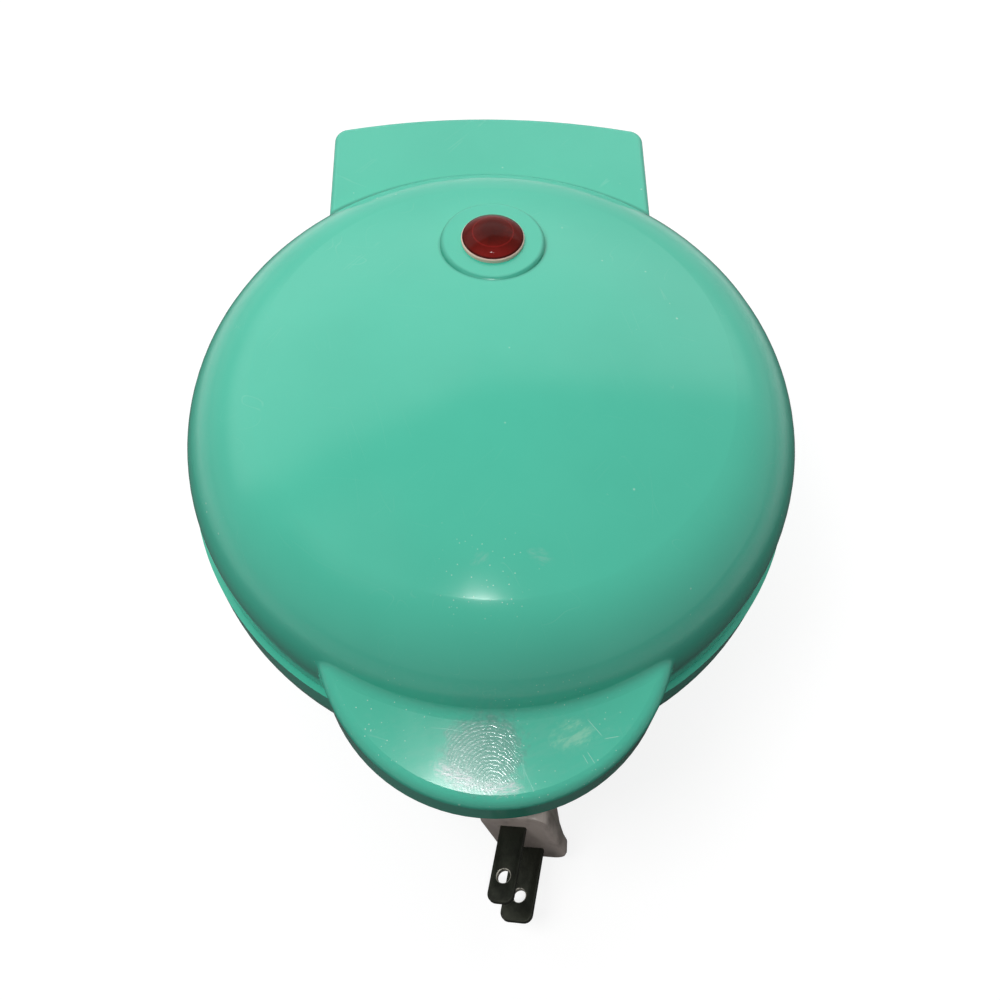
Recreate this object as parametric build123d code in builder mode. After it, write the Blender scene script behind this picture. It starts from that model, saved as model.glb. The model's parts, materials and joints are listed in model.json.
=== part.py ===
from build123d import *
import os
from math import acos, asin, atan2, cos, degrees, dist, hypot, radians, sin, sqrt, tan

os.makedirs("parts", exist_ok=True)

# Mini waffle maker, in millimetres. The floor is z = 0, the round plates' axis is x = y = 0,
# the handle points to -Y and the hinge lies at +Y.

# Heights of the feet and of the plane where the two halves meet
foot_height = 4.0
parting_height = 45.0
shell_gap = 1.5
plate_gap = 0.3

# Housings and the lid's dome
shell_wall = 2.4
lid_radius = 73.0
lid_height = 43.0
shoulder_share = 0.356
skirt_height = 10.0

# Handle tab at the front of the lid
tab_length = 18.2
tab_radius = 39.5
tab_rear_height = 15.5
tab_front_height = 12.0
tab_edge_radius = 3.0
cove_radius = 3.0

# Hinge hood at the back of the lid
hood_half_width = 41.6
hood_depth = 14.3
hood_bow = 4.9
hood_height = 22.2
hood_corner_radius = 4.0
hood_edge_radius = 1.6
hood_seam_radius = 1.5
ear_radius = 7.5
ear_thickness = 4.5

# Hinge
hinge_rise = 2.0
barrel_radius = 5.2
barrel_clearance = 0.3
barrel_inner_x = 10.0
hinge_side_clearance = 0.3
pin_radius = 2.0
pin_fit = 0.02
pin_running_clearance = 0.06
pin_depth_in_ear = 3.0
tower_setback = 4.5
tower_step = 1.0
tower_corner_radius = 3.0
tower_slope_top = 28.0
tower_slope_run = 30.0
tower_floor = 10.0

# Indicator light
lens_share = 0.452
lens_radius = 7.4
lens_rise = 2.8
lens_rim = 0.8
lens_wall = 1.1
lens_lean = 6.1575
lens_stem_radius = 5.2
lens_stem_length = 7.0
lens_fit = 0.15
boss_radius = 12.3
boss_rise = 1.2
boss_depth = 9.0
boss_edge_radius = 0.9
lamp_radius = 2.5
lamp_length = 9.0
lamp_tip_radius = 2.0
lamp_top_gap = 1.0
holder_length = 10.0

# Base housing
rim_ledge = 1.2
rim_edge_radius = 1.0
band_height = 9.0
bottom_radius = 56.0
lip_clearance = 0.4

# Cooking plates
flange_clearance = 1.1
flange_width = 9.5
plate_wall = 2.3
pan_depth = 9.85
pan_draft = 2.0
pan_edge_radius = 1.0
post_pitch = 11.6
posts_across = 10
post_width = 7.8
post_height = 6.0
post_taper = 10.0
post_edge_gap = 2.6

# Heating elements and what is clamped under each plate
element_ring_radius = 42.0
element_radius = 3.2
element_fit = 0.05
element_gap_angle = 26.0
element_turn_radius = 7.0
element_end_inset = 11.0
element_rib_width = 10.4
element_rib_height = 3.1
thermostat_boss_radius = 9.0
thermostat_boss_height = 2.5
thermostat_radius = 8.2
thermostat_height = 4.4
thermostat_clip_length = 27.0
thermostat_tag_width = 5.8
thermostat_tag_length = 1.2
fuse_radius = 2.0
fuse_lead_radius = 0.5
fuse_length = 12.0
fuse_y = -24.0

# Heat shields
shield_wall = 0.8
shield_clearance = 0.6
shield_floor_inset = 8.0
shield_knee = 11.0

# Plate seats and screws
seat_depth = 3.6
seat_thickness = 2.0
seat_height = 12.0
seat_count = 12
screw_count = 3
screw_start = 30.0
screw_circle_inset = 2.3
screw_boss_radius = 3.0
screw_radius = 1.3
screw_head_radius = 2.3
screw_length = 10.0
screw_fit = 0.1

# Bottom cover, cord well and feet
cover_wall = 2.4
cover_fit = 0.3
cover_edge = 1.4
well_radius = 41.0
well_roof = 14.6
well_flat_x = 26.2
well_flat_y = 21.0
hub_radius = 13.0
hub_floor = 4.6
channel_half_width = 5.4
channel_roof = 13.6
channel_wall = 2.0
channel_length = 46.0
cover_screw_circle = 49.0
cover_boss_radius = 3.5
cover_boss_height = 9.0
cover_rib_thickness = 2.4
foot_radius = 5.5
foot_circle = 48.6
foot_edge_radius = 1.0
foot_angle = 45.0
foot_stem_radius = 2.4
foot_stem_length = 5.0

# Cord and its route
cord_radius = 2.6
coil_radius = 29.5
coil_step = 3.0
coil_y = 2.0
coil_turns = 2
coil_samples = 600
layer_low = 3.2
layer_high = 9.2
gland_nose_radius = 4.0
gland_tip_radius = 3.2
gland_neck_radius = 3.4
gland_flange_half_width = 6.0
gland_flange_height = 6.8
gland_flange_thickness = 3.0
tail_route = ((29.5, -10.0, 3.2), (26.5, -20.0, 3.3), (20.5, -33.0, 3.1))
tail_bend_share = 0.45

# Plug
plug_face = (6.5, -89.4, 12.9)
plug_forward = (-0.206, -0.966, 0.16)
plug_blade_side = (-0.928, 0.14, -0.346)
plug_length = 18.0
plug_face_width = 17.0
plug_face_shift = 0.6
plug_face_height = 24.0
plug_corner_radius = 3.6
plug_neck_width = 9.6
plug_neck_height = 12.6
plug_neck_corner = 4.4
relief_length = 20.0
relief_radius = 4.6
relief_tip_radius = 3.3
relief_lead = 8.0
blade_spacing = 12.7
blade_length = 18.0
blade_root = 6.0
blade_thickness = 1.5
blade_end_radius = 1.8
blade_narrow_width = 6.35
blade_wide_width = 7.9
blade_hole_radius = 1.6
blade_hole_place = 11.9

# Wiring
lead_radius = 1.5
lead_hole_clearance = 0.5
terminal_width = 22.0
terminal_depth = 8.0
terminal_height = 6.0
terminal_setback = 3.0
terminal_drop = 21.5
terminal_post_x = 8.5
terminal_post_radius = 2.5
terminal_wire_x = 8.7
wire_drop = 5.0
wire_setback = 1.0
wire_bend = 1.8
wire_end_gap = 0.1
harness_drop = 5.0
harness_slope = 5.0
harness_bend = 2.2
lead_hole_depth = 18.0
harness_end_gap = 0.15
inner_cord_lead = 4.0
inner_cord_bends = ((27.5, 26.5, 9.6), (15.0, 12.5, 12.0), (4.0, 2.8, 15.5))
inner_cord_bend = 3.0

# Sizes that follow from the driving dimensions

lid_edge_z = parting_height + shell_gap / 2
rim_z = parting_height - shell_gap / 2
plate_face_low = parting_height - plate_gap / 2

block_root = lid_radius / 2
lens_y = lid_radius * lens_share
shoulder_radius = lid_radius * shoulder_share
rim_radius = lid_radius + rim_ledge
handle_reach = lid_radius + tab_length
hood_corner_y = lid_radius + hood_depth
hood_rear_y = hood_corner_y + hood_bow
hinge_y = hood_corner_y - shell_wall - barrel_clearance - barrel_radius
hinge_z = parting_height + hinge_rise
ear_inner_x = hood_half_width - ear_thickness
barrel_outer_x = ear_inner_x - hinge_side_clearance

shoulder_x = lid_radius - shoulder_radius
shoulder_z = parting_height + skirt_height
crown_drop = lid_height - skirt_height
crown_reach = shoulder_x**2 + crown_drop**2 - shoulder_radius**2
crown_radius = crown_reach / (2 * (crown_drop - shoulder_radius))
crown_z = parting_height + lid_height - crown_radius
blend_angle = degrees(acos(shoulder_x / (crown_radius - shoulder_radius)))
lens_tilt = degrees(asin(lens_y / crown_radius)) - lens_lean

bowl_in = rim_radius - bottom_radius
bowl_top_z = parting_height - band_height
bowl_drop = bowl_top_z - foot_height
bowl_radius = (bowl_in**2 + bowl_drop**2) / (2 * bowl_in)
bowl_x = rim_radius - bowl_radius

flange_radius = lid_radius - shell_wall - flange_clearance
pan_radius = flange_radius - flange_width
pan_floor_radius = pan_radius - pan_draft
pan_floor_z = plate_face_low - pan_depth
pan_under_z = pan_floor_z - plate_wall
flange_under_z = plate_face_low - plate_wall
element_z = pan_under_z - element_radius - 2 * element_fit
element_reach = lid_radius - element_end_inset
seat_z = flange_under_z - shield_wall
screw_circle = flange_radius - screw_circle_inset

tower_y = hinge_y - tower_setback

cover_radius = bottom_radius - cover_edge - cover_fit
cover_top_z = foot_height + cover_wall
well_top_z = well_roof + cover_wall
thermostat_low_z = pan_under_z - thermostat_boss_height - thermostat_height - thermostat_tag_length
shield_floor_z = (thermostat_low_z + well_top_z) / 2
shield_floor_radius = pan_radius - shield_floor_inset

terminal_y = element_reach + terminal_setback
terminal_z = parting_height - terminal_drop
harness_z = parting_height - harness_drop
inner_cord_route = [(x, terminal_y - ahead, z) for x, ahead, z in inner_cord_bends]

plug_axis = Vector(*plug_forward).normalized()
plug_side = (Vector(*plug_blade_side) - plug_axis * plug_axis.dot(Vector(*plug_blade_side))).normalized()
plug_plane = Plane(origin=plug_face, x_dir=plug_side, z_dir=plug_axis)
relief_end = Vector(*plug_face) - plug_axis * (plug_length + relief_length)
channel_angle = degrees(atan2(plug_axis.X, plug_axis.Y)) % 180


def level(z):
    """Horizontal plane at a height above the floor."""
    return Plane.XY.offset(z)


def surface_z(radius):
    """Height of the lid's crown over the floor at a radius inside its shoulder."""
    return crown_z + sqrt(crown_radius**2 - radius**2)


def dome_section(inset):
    """Half section of the lid's dome, drawn in by a wall, from its lower edge up."""
    side = lid_radius - inset
    top = crown_z + crown_radius - inset
    with BuildSketch(Plane.XZ) as section:
        with BuildLine():
            Polyline((0, top), (0, lid_edge_z), (side, lid_edge_z), (side, shoulder_z))
            CenterArc((shoulder_x, shoulder_z), shoulder_radius - inset, 0, blend_angle)
            CenterArc((0, crown_z), crown_radius - inset, blend_angle, 90 - blend_angle)
        make_face()
    return section.sketch


def bowl_section(inset, top):
    """Half section of the base's bowl, drawn in by a wall, up to a height."""
    side = rim_radius - inset
    floor_z = foot_height + inset
    arc_radius = bowl_radius - inset
    sweep_angle = degrees(asin((bowl_drop - inset) / arc_radius))
    with BuildSketch(Plane.XZ) as section:
        with BuildLine():
            Polyline((side, bowl_top_z), (side, top), (0, top), (0, floor_z))
            Line((0, floor_z), (bowl_x + arc_radius * cos(radians(sweep_angle)), floor_z))
            CenterArc((bowl_x, bowl_top_z), arc_radius, 0, -sweep_angle)
        make_face()
    return section.sketch


def hood_outline(inset_side, inset_rear, z):
    """Plan of the hinge hood with its bowed back, from inside the dome backwards."""
    half = hood_half_width - inset_side
    side_y = hood_corner_y - inset_rear
    with BuildSketch(level(z)) as outline:
        with BuildLine():
            ThreePointArc((-half, side_y), (0, hood_rear_y - inset_rear), (half, side_y))
            Polyline((half, side_y), (half, block_root), (-half, block_root), (-half, side_y))
        make_face()
        corners = outline.vertices().group_by(Axis.Y)[-1]
        fillet(corners, hood_corner_radius - min(inset_rear, hood_corner_radius / 2))
    return outline.sketch


def tab_block(inset):
    """Handle tab with its sloping top, drawn in by a wall."""
    slope = (tab_rear_height - tab_front_height) / tab_length
    front_y = -handle_reach
    top_front = parting_height + tab_front_height - inset
    top_rear = top_front - slope * (block_root + front_y)
    with BuildPart() as block:
        with BuildSketch(level(lid_edge_z)):
            with Locations((0, tab_radius - handle_reach)):
                Circle(tab_radius - inset)
        extrude(amount=lid_height)
        with BuildSketch(Plane.YZ):
            Polygon((front_y, lid_edge_z), (-block_root, lid_edge_z), (-block_root, top_rear),
                    (front_y, top_front), align=None)
        extrude(amount=tab_radius, both=True, mode=Mode.INTERSECT)
    return block.part


def hood_block(inset):
    """Hinge hood, drawn in by a wall."""
    with BuildPart() as block:
        extrude(hood_outline(inset, inset, lid_edge_z),
                amount=parting_height + hood_height - inset - lid_edge_z)
    return block.part


def screw_spots(radius, z):
    """Circles at the places of a plate's screws."""
    with BuildSketch(level(z)) as spots:
        with PolarLocations(screw_circle, screw_count, start_angle=screw_start):
            Circle(radius)
    return spots.sketch


def seat_supports(bottom, height, outer):
    """Ribs and screw bosses round the inside of a housing that carry a plate's rim."""
    inner = flange_radius - seat_depth
    with BuildPart() as supports:
        with BuildSketch(level(bottom)):
            with PolarLocations((inner + outer) / 2, seat_count, start_angle=screw_start):
                Rectangle(outer - inner, seat_thickness)
        extrude(amount=height)
        extrude(screw_spots(screw_boss_radius, bottom), amount=height)
    return supports.part


def hinge_circle(radius, x):
    """Circle round the hinge axis, at a place along it."""
    with BuildSketch(Plane.YZ.offset(x)) as circle:
        with Locations((hinge_y, hinge_z)):
            Circle(radius)
    return circle.sketch


def tower_block(inset):
    """Block at the back of the base that carries the hinge, drawn in by a wall."""
    with BuildPart() as block:
        with BuildSketch(Plane.YZ):
            Polygon((block_root, rim_z), (tower_y, rim_z), (tower_y, tower_slope_top),
                    (tower_y - tower_slope_run, tower_floor), (block_root, tower_floor), align=None)
            if inset:
                offset(amount=-inset, kind=Kind.INTERSECTION)
        extrude(amount=barrel_outer_x - inset, both=True)
    return block.part


def bowl_block(inset, top):
    """Round bowl of the base, drawn in by a wall, up to a height."""
    with BuildPart() as block:
        revolve(bowl_section(inset, top), axis=Axis.Z)
    return block.part


def channel_box(half_width, top):
    """Straight channel in which the cord leaves the well, up to a height."""
    with BuildPart() as box:
        with BuildSketch():
            with Locations(Location((relief_end.X, relief_end.Y, 0), (0, 0, -channel_angle))):
                Rectangle(2 * half_width, channel_length)
        extrude(amount=top)
    return box.part


def well_outline(outset, z):
    """Plan of the cord well: a circle with one flat for the cord's inlet."""
    with BuildSketch(level(z)) as outline:
        Circle(well_radius + outset)
        with Locations((well_flat_x - outset, well_flat_y + outset)):
            Rectangle(well_radius, well_radius, align=(Align.MIN, Align.MIN), mode=Mode.SUBTRACT)
    return outline.sketch


def cross_spots(circle, radius, start, z):
    """Four circles round the bottom cover."""
    with BuildSketch(level(z)) as spots:
        with PolarLocations(circle, 4, start_angle=start):
            Circle(radius)
    return spots.sketch


def rounded_face(width, height, corner, z):
    """Rounded rectangle at a height, for the plug's moulding."""
    with BuildSketch(level(z)) as face:
        RectangleRounded(width, height, corner)
    return face.sketch


def tube(radius, points, bends):
    """Round lead through points, with an arc at each corner."""
    with BuildPart() as lead:
        with BuildLine() as route:
            FilletPolyline(*points, radius=bends)
        with BuildSketch(Plane(origin=route.line @ 0, z_dir=route.line % 0)):
            Circle(radius)
        sweep()
    return lead.part


def save(part, name):
    """Name a finished piece and write it to its own file."""
    part.label = name
    export_step(part, f"parts/{name}.step")


# Lid housing: dome, handle tab and hinge hood in one moulding

lens_plane = Plane(
    origin=(0, lens_y, surface_z(lens_y) + boss_rise),
    x_dir=(1, 0, 0),
    z_dir=(0, sin(radians(lens_tilt)), cos(radians(lens_tilt))),
)
tab_outer = tab_block(0)
tab_inner = tab_block(shell_wall)
hood_outer = hood_block(0)
hood_inner = hood_block(shell_wall)
lid_seat_z = 2 * parting_height - seat_z
lid_seats = seat_supports(lid_seat_z, seat_height, lid_radius - shell_wall / 2)
lid_harness_z = hinge_z + barrel_radius + lead_radius + lead_hole_clearance

with BuildPart() as ears:
    for side in (1, -1):
        extrude(hinge_circle(ear_radius, side * ear_inner_x), amount=side * ear_thickness)
    extrude(hood_outline(0, 0, hinge_z - ear_radius), amount=2 * ear_radius, mode=Mode.INTERSECT)

with BuildPart() as lid_shell:
    # Tab and hood as hollow boxes, then the dome over them, still solid
    add(tab_outer)
    tab_top = lid_shell.faces().sort_by(Axis.Z)[-1]
    fillet(tab_top.edges().filter_by(GeomType.LINE, reverse=True), tab_edge_radius)
    add(tab_inner, mode=Mode.SUBTRACT)
    add(hood_outer)
    hood_top = lid_shell.faces().filter_by(Axis.Z).sort_by(Axis.Z)[-1]
    fillet(hood_top.edges().sort_by(Axis.Y)[1:], hood_edge_radius)
    add(hood_inner, mode=Mode.SUBTRACT)
    revolve(dome_section(0), axis=Axis.Z)
    # Soft hollows where the tab and the hood meet the dome
    front_seams = lid_shell.edges().filter_by_position(Axis.Y, -lid_radius, -lid_radius + cove_radius)
    fillet(front_seams.sort_by(Axis.Z)[-1], cove_radius)
    hood_top = lid_shell.faces().filter_by(Axis.Z).sort_by(Axis.Z)[-1]
    fillet(hood_top.edges().sort_by(Axis.Y)[0], hood_seam_radius)
    # Round boss that carries the light
    with BuildSketch(lens_plane):
        Circle(boss_radius)
    extrude(amount=-boss_depth)
    boss_top = lid_shell.faces().sort_by(Axis.Z)[-1]
    fillet(boss_top.edges(), boss_edge_radius)
    # Inside of the dome, with the supports of the upper plate's rim
    revolve(dome_section(shell_wall), axis=Axis.Z, mode=Mode.SUBTRACT)
    add(lid_seats)
    extrude(screw_spots(screw_radius + screw_fit, lid_seat_z), amount=screw_length, mode=Mode.SUBTRACT)
    # Hinge ears with blind holes for the pins
    add(ears.part)
    for side in (1, -1):
        extrude(hinge_circle(pin_radius + pin_running_clearance, side * ear_inner_x),
                amount=side * pin_depth_in_ear, mode=Mode.SUBTRACT)
    # Openings for the light's stem and for the lead from the hinge
    with BuildSketch(lens_plane):
        Circle(lens_stem_radius + lens_fit)
    extrude(amount=-boss_depth, mode=Mode.SUBTRACT)
    with BuildSketch(Plane.XZ.offset(-hinge_y)):
        with Locations((barrel_inner_x / 2, lid_harness_z)):
            Circle(lead_radius + lead_hole_clearance)
    extrude(amount=lead_hole_depth, mode=Mode.SUBTRACT)
save(lid_shell.part, "lid_shell")

# Indicator light in the lid

with BuildPart() as indicator_lens:
    cap_radius = (lens_radius**2 + lens_rise**2) / (2 * lens_rise)
    with BuildSketch(Plane.XZ):
        with BuildLine():
            Polyline((0, -lens_stem_length), (lens_stem_radius, -lens_stem_length),
                     (lens_stem_radius, 0), (lens_radius, 0), (lens_radius, lens_rim))
            RadiusArc((lens_radius, lens_rim), (0, lens_rim + lens_rise), -cap_radius)
            Line((0, lens_rim + lens_rise), (0, -lens_stem_length))
        make_face()
        with Locations((0, -lens_stem_length)):
            Rectangle(2 * (lens_stem_radius - lens_wall), 2 * lens_stem_length, mode=Mode.SUBTRACT)
    revolve(axis=Axis.Z)
    rim_edges = indicator_lens.edges().filter_by_position(Axis.Z, 0, lens_rim)
    fillet(rim_edges.sort_by(SortBy.LENGTH)[-1], lens_rim / 2)
save(lens_plane * indicator_lens.part, "indicator_lens")

with BuildPart() as indicator_lamp:
    Cylinder(lamp_radius, lamp_length, align=(Align.CENTER, Align.CENTER, Align.MAX))
    fillet(indicator_lamp.edges().sort_by(Axis.Z)[-1], lamp_tip_radius)
save(lens_plane * Pos(0, 0, -lamp_top_gap) * indicator_lamp.part, "indicator_lamp")

with BuildPart() as lamp_holder:
    holder_top = -lens_stem_length / 2
    with BuildSketch(level(holder_top)):
        Circle(lens_stem_radius - lens_wall - lens_fit)
    extrude(amount=-holder_length)
    with BuildSketch(level(holder_top)):
        Circle(lamp_radius + lens_fit)
    extrude(amount=-(lamp_length + lamp_top_gap + holder_top), mode=Mode.SUBTRACT)
save(lens_plane * lamp_holder.part, "lamp_holder")

# Base housing: bowl, hinge tower with its barrels, and the cord's way out

bowl_outer = bowl_block(0, rim_z)
bowl_inner = bowl_block(shell_wall, rim_z - shell_wall)
bowl_middle = bowl_block(shell_wall / 2, rim_z - shell_wall)
tower_outer = tower_block(0)
tower_inner = tower_block(shell_wall)
base_seats = seat_supports(seat_z - seat_height, seat_height, rim_radius - shell_wall / 2)

with BuildPart() as cover_supports:
    extrude(cross_spots(cover_screw_circle, cover_boss_radius, 0, cover_top_z), amount=cover_boss_height)
    with BuildSketch(level(cover_top_z)):
        with PolarLocations(cover_screw_circle, 4):
            Rectangle(rim_radius - cover_screw_circle, cover_rib_thickness,
                      align=(Align.MIN, Align.CENTER))
    extrude(amount=cover_boss_height)
    add(bowl_middle, mode=Mode.INTERSECT)

with BuildPart() as terminal_posts:
    with BuildSketch(Plane.XY):
        with Locations((-terminal_post_x, terminal_y), (terminal_post_x, terminal_y)):
            Circle(terminal_post_radius)
    extrude(amount=terminal_z)
    add(bowl_middle, mode=Mode.INTERSECT)

with BuildPart() as channel_shell:
    add(channel_box(channel_half_width + channel_wall, channel_roof + channel_wall))
    add(bowl_middle, mode=Mode.INTERSECT)
    with BuildSketch():
        Circle(bottom_radius - cover_edge)
    extrude(amount=parting_height, mode=Mode.SUBTRACT)

with BuildPart() as base_shell:
    add(tower_outer)
    back_edges = base_shell.faces().sort_by(Axis.Y)[-1].edges().filter_by(Axis.Z)
    fillet(back_edges, tower_corner_radius)
    add(bowl_outer)
    rim_edge = base_shell.edges().filter_by(GeomType.CIRCLE).sort_by(Axis.Z)[-1]
    fillet(rim_edge, rim_edge_radius)
    # Hollow inside, open below for the cover and above for the plate
    add(bowl_inner, mode=Mode.SUBTRACT)
    add(tower_inner, mode=Mode.SUBTRACT)
    with BuildSketch(level(rim_z)):
        Circle(flange_radius + lip_clearance)
    extrude(amount=-2 * shell_wall, mode=Mode.SUBTRACT)
    with BuildSketch():
        Circle(bottom_radius - cover_edge)
    extrude(amount=cover_top_z, mode=Mode.SUBTRACT)
    add(base_seats)
    add(cover_supports.part)
    add(terminal_posts.part)
    add(channel_shell.part)
    add(channel_box(channel_half_width, channel_roof), mode=Mode.SUBTRACT)
    # Hinge barrels on their webs
    for side in (1, -1):
        reach = side * (barrel_outer_x - barrel_inner_x)
        extrude(hinge_circle(barrel_radius, side * barrel_inner_x), amount=reach)
        with BuildSketch(Plane.YZ.offset(side * barrel_inner_x)):
            Polygon((tower_y - tower_step, hinge_z - barrel_radius),
                    (hinge_y, hinge_z - barrel_radius), (hinge_y, hinge_z + pin_radius),
                    (tower_y - tower_step, hinge_z + pin_radius), align=None)
        extrude(amount=reach)
        extrude(hinge_circle(pin_radius + pin_fit, side * barrel_inner_x), amount=reach,
                mode=Mode.SUBTRACT)
    # Screw holes, and the hole for the lead to the lid
    extrude(screw_spots(screw_radius + screw_fit, seat_z), amount=-screw_length, mode=Mode.SUBTRACT)
    extrude(cross_spots(cover_screw_circle, screw_radius + screw_fit, 0, cover_top_z),
            amount=cover_boss_height - cover_wall, mode=Mode.SUBTRACT)
    with BuildSketch(Plane.XZ.offset(-hinge_y)):
        with Locations((-barrel_inner_x / 2, harness_z)):
            Circle(lead_radius + lead_hole_clearance)
    extrude(amount=tower_setback + 2 * shell_wall, mode=Mode.SUBTRACT)
save(base_shell.part, "base_shell")

# Hinge pins

for side, name in ((1, "hinge_pin_right"), (-1, "hinge_pin_left")):
    with BuildPart() as hinge_pin:
        near = side * barrel_inner_x
        far = side * (ear_inner_x + pin_depth_in_ear - pin_running_clearance)
        extrude(hinge_circle(pin_radius, near), amount=far - near)
    save(hinge_pin.part, name)

# Bottom cover with the cord well

with BuildPart() as bottom_cover:
    with BuildSketch(level(foot_height)):
        Circle(cover_radius)
    extrude(amount=cover_wall)
    extrude(well_outline(cover_wall, foot_height), amount=well_top_z - foot_height)
    add(channel_box(channel_half_width + channel_wall, channel_roof + channel_wall))
    with BuildSketch(level(foot_height)):
        Circle(cover_radius)
    extrude(amount=well_top_z, mode=Mode.INTERSECT)
    extrude(well_outline(0, 0), amount=well_roof, mode=Mode.SUBTRACT)
    add(channel_box(channel_half_width, channel_roof), mode=Mode.SUBTRACT)
    # Hub that the cord is wound round, closed below
    with BuildSketch(level(hub_floor)):
        with Locations((0, coil_y)):
            Circle(hub_radius)
    extrude(amount=well_top_z - hub_floor)
    with BuildSketch(level(hub_floor + cover_wall)):
        with Locations((0, coil_y)):
            Circle(hub_radius - cover_wall)
    extrude(amount=well_top_z, mode=Mode.SUBTRACT)
    # Holes for the screws, the feet and the cord's inlet
    extrude(cross_spots(cover_screw_circle, screw_radius + screw_fit, 0, foot_height),
            amount=cover_wall, mode=Mode.SUBTRACT)
    extrude(cross_spots(foot_circle, foot_stem_radius + screw_fit, foot_angle, foot_height),
            amount=cover_wall, mode=Mode.SUBTRACT)
    with BuildSketch(Plane.XZ.offset(-well_flat_y - 2 * cover_wall)):
        with Locations((coil_radius, layer_high)):
            Circle(gland_neck_radius + screw_fit)
    extrude(amount=3 * cover_wall, mode=Mode.SUBTRACT)
save(bottom_cover.part, "bottom_cover")

# Cooking plates: round pans with a grid of tapered posts

with BuildPart() as waffle_posts:
    floor_radius = pan_floor_radius - post_edge_gap
    with BuildSketch(level(pan_floor_z)):
        for spot in GridLocations(post_pitch, post_pitch, posts_across, posts_across).locations:
            if hypot(spot.position.X, spot.position.Y) < floor_radius:
                with Locations(spot):
                    Rectangle(post_width, post_width)
    extrude(amount=post_height, taper=post_taper)
    with BuildSketch(level(pan_floor_z)):
        Circle(floor_radius)
    extrude(amount=post_height, taper=post_taper, mode=Mode.INTERSECT)

with BuildPart() as lower_plate:
    with BuildSketch(Plane.XZ):
        Polygon((0, pan_floor_z), (pan_floor_radius, pan_floor_z), (pan_radius, plate_face_low),
                (flange_radius, plate_face_low), (flange_radius, flange_under_z),
                (pan_radius + plate_wall, flange_under_z), (pan_floor_radius + plate_wall, pan_under_z),
                (0, pan_under_z), align=None)
    revolve(axis=Axis.Z)
    pan_rim = lower_plate.edges().filter_by_position(Axis.Z, plate_face_low, plate_face_low)
    fillet(pan_rim.sort_by(SortBy.LENGTH)[0], pan_edge_radius)
    add(waffle_posts.part)
    # Rib that grips the heating element, open at the back for its ends
    with BuildSketch(level(pan_under_z)):
        Circle(element_ring_radius + element_rib_width / 2)
        Circle(element_ring_radius - element_rib_width / 2, mode=Mode.SUBTRACT)
        with Locations((0, element_ring_radius)):
            Rectangle(element_ring_radius, element_ring_radius, mode=Mode.SUBTRACT)
    extrude(amount=-element_rib_height)
    with BuildSketch(Plane.XZ):
        with Locations((element_ring_radius, element_z)):
            Circle(element_radius + element_fit)
    revolve(axis=Axis.Z, mode=Mode.SUBTRACT)
    # Boss for the thermostat
    with BuildSketch(level(pan_under_z)):
        Circle(thermostat_boss_radius)
    extrude(amount=-thermostat_boss_height)
    # Countersunk screw holes through the flange
    with Locations(level(plate_face_low)):
        with PolarLocations(screw_circle, screw_count, start_angle=screw_start):
            CounterSinkHole(screw_radius + screw_fit, screw_head_radius + screw_fit,
                            depth=plate_wall, counter_sink_angle=90)
save(lower_plate.part, "lower_plate")

# Heating element: a nearly closed ring whose ends turn out to the back

with BuildPart() as lower_element:
    with BuildLine(level(element_z)) as element_route:
        bend = 90 - element_gap_angle
        ring = CenterArc((0, 0), element_ring_radius, 90 + element_gap_angle,
                         360 - 2 * element_gap_angle)
        left = JernArc(ring @ 0, (ring % 0) * -1, element_turn_radius, bend)
        right = JernArc(ring @ 1, ring % 1, element_turn_radius, -bend)
        Line(left @ 1, ((left @ 1).X, element_reach))
        Line(right @ 1, ((right @ 1).X, element_reach))
    element_end_x = (right @ 1).X
    with BuildSketch(Plane.XZ.offset(-element_reach)):
        with Locations((element_end_x, element_z)):
            Circle(element_radius)
    sweep(path=element_route.wires()[0])
save(lower_element.part, "lower_element")

# Thermostat and thermal fuse under the lower plate

with BuildPart() as thermostat:
    boss_z = pan_under_z - thermostat_boss_height
    with BuildSketch(level(boss_z)):
        Circle(thermostat_radius)
    extrude(amount=-thermostat_height)
    with BuildSketch(level(boss_z)):
        SlotOverall(thermostat_clip_length, thermostat_radius)
    extrude(amount=-shield_wall)
    with BuildSketch(level(boss_z - thermostat_height)):
        with GridLocations(thermostat_radius, 0, 2, 1):
            Rectangle(shield_wall, thermostat_tag_width)
    extrude(amount=-thermostat_tag_length)
save(thermostat.part, "thermostat")

with BuildPart() as thermal_fuse:
    fuse_z = pan_under_z - fuse_radius - plate_gap
    with BuildSketch(Plane.YZ.offset(-fuse_length / 2)):
        with Locations((fuse_y, fuse_z)):
            Circle(fuse_radius)
    extrude(amount=fuse_length)
    with BuildSketch(Plane.YZ.offset(-fuse_length)):
        with Locations((fuse_y, fuse_z)):
            Circle(fuse_lead_radius)
    extrude(amount=2 * fuse_length)
save(thermal_fuse.part, "thermal_fuse")

# Heat shield: a sheet pan clamped between the plate's flange and its seats

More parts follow.
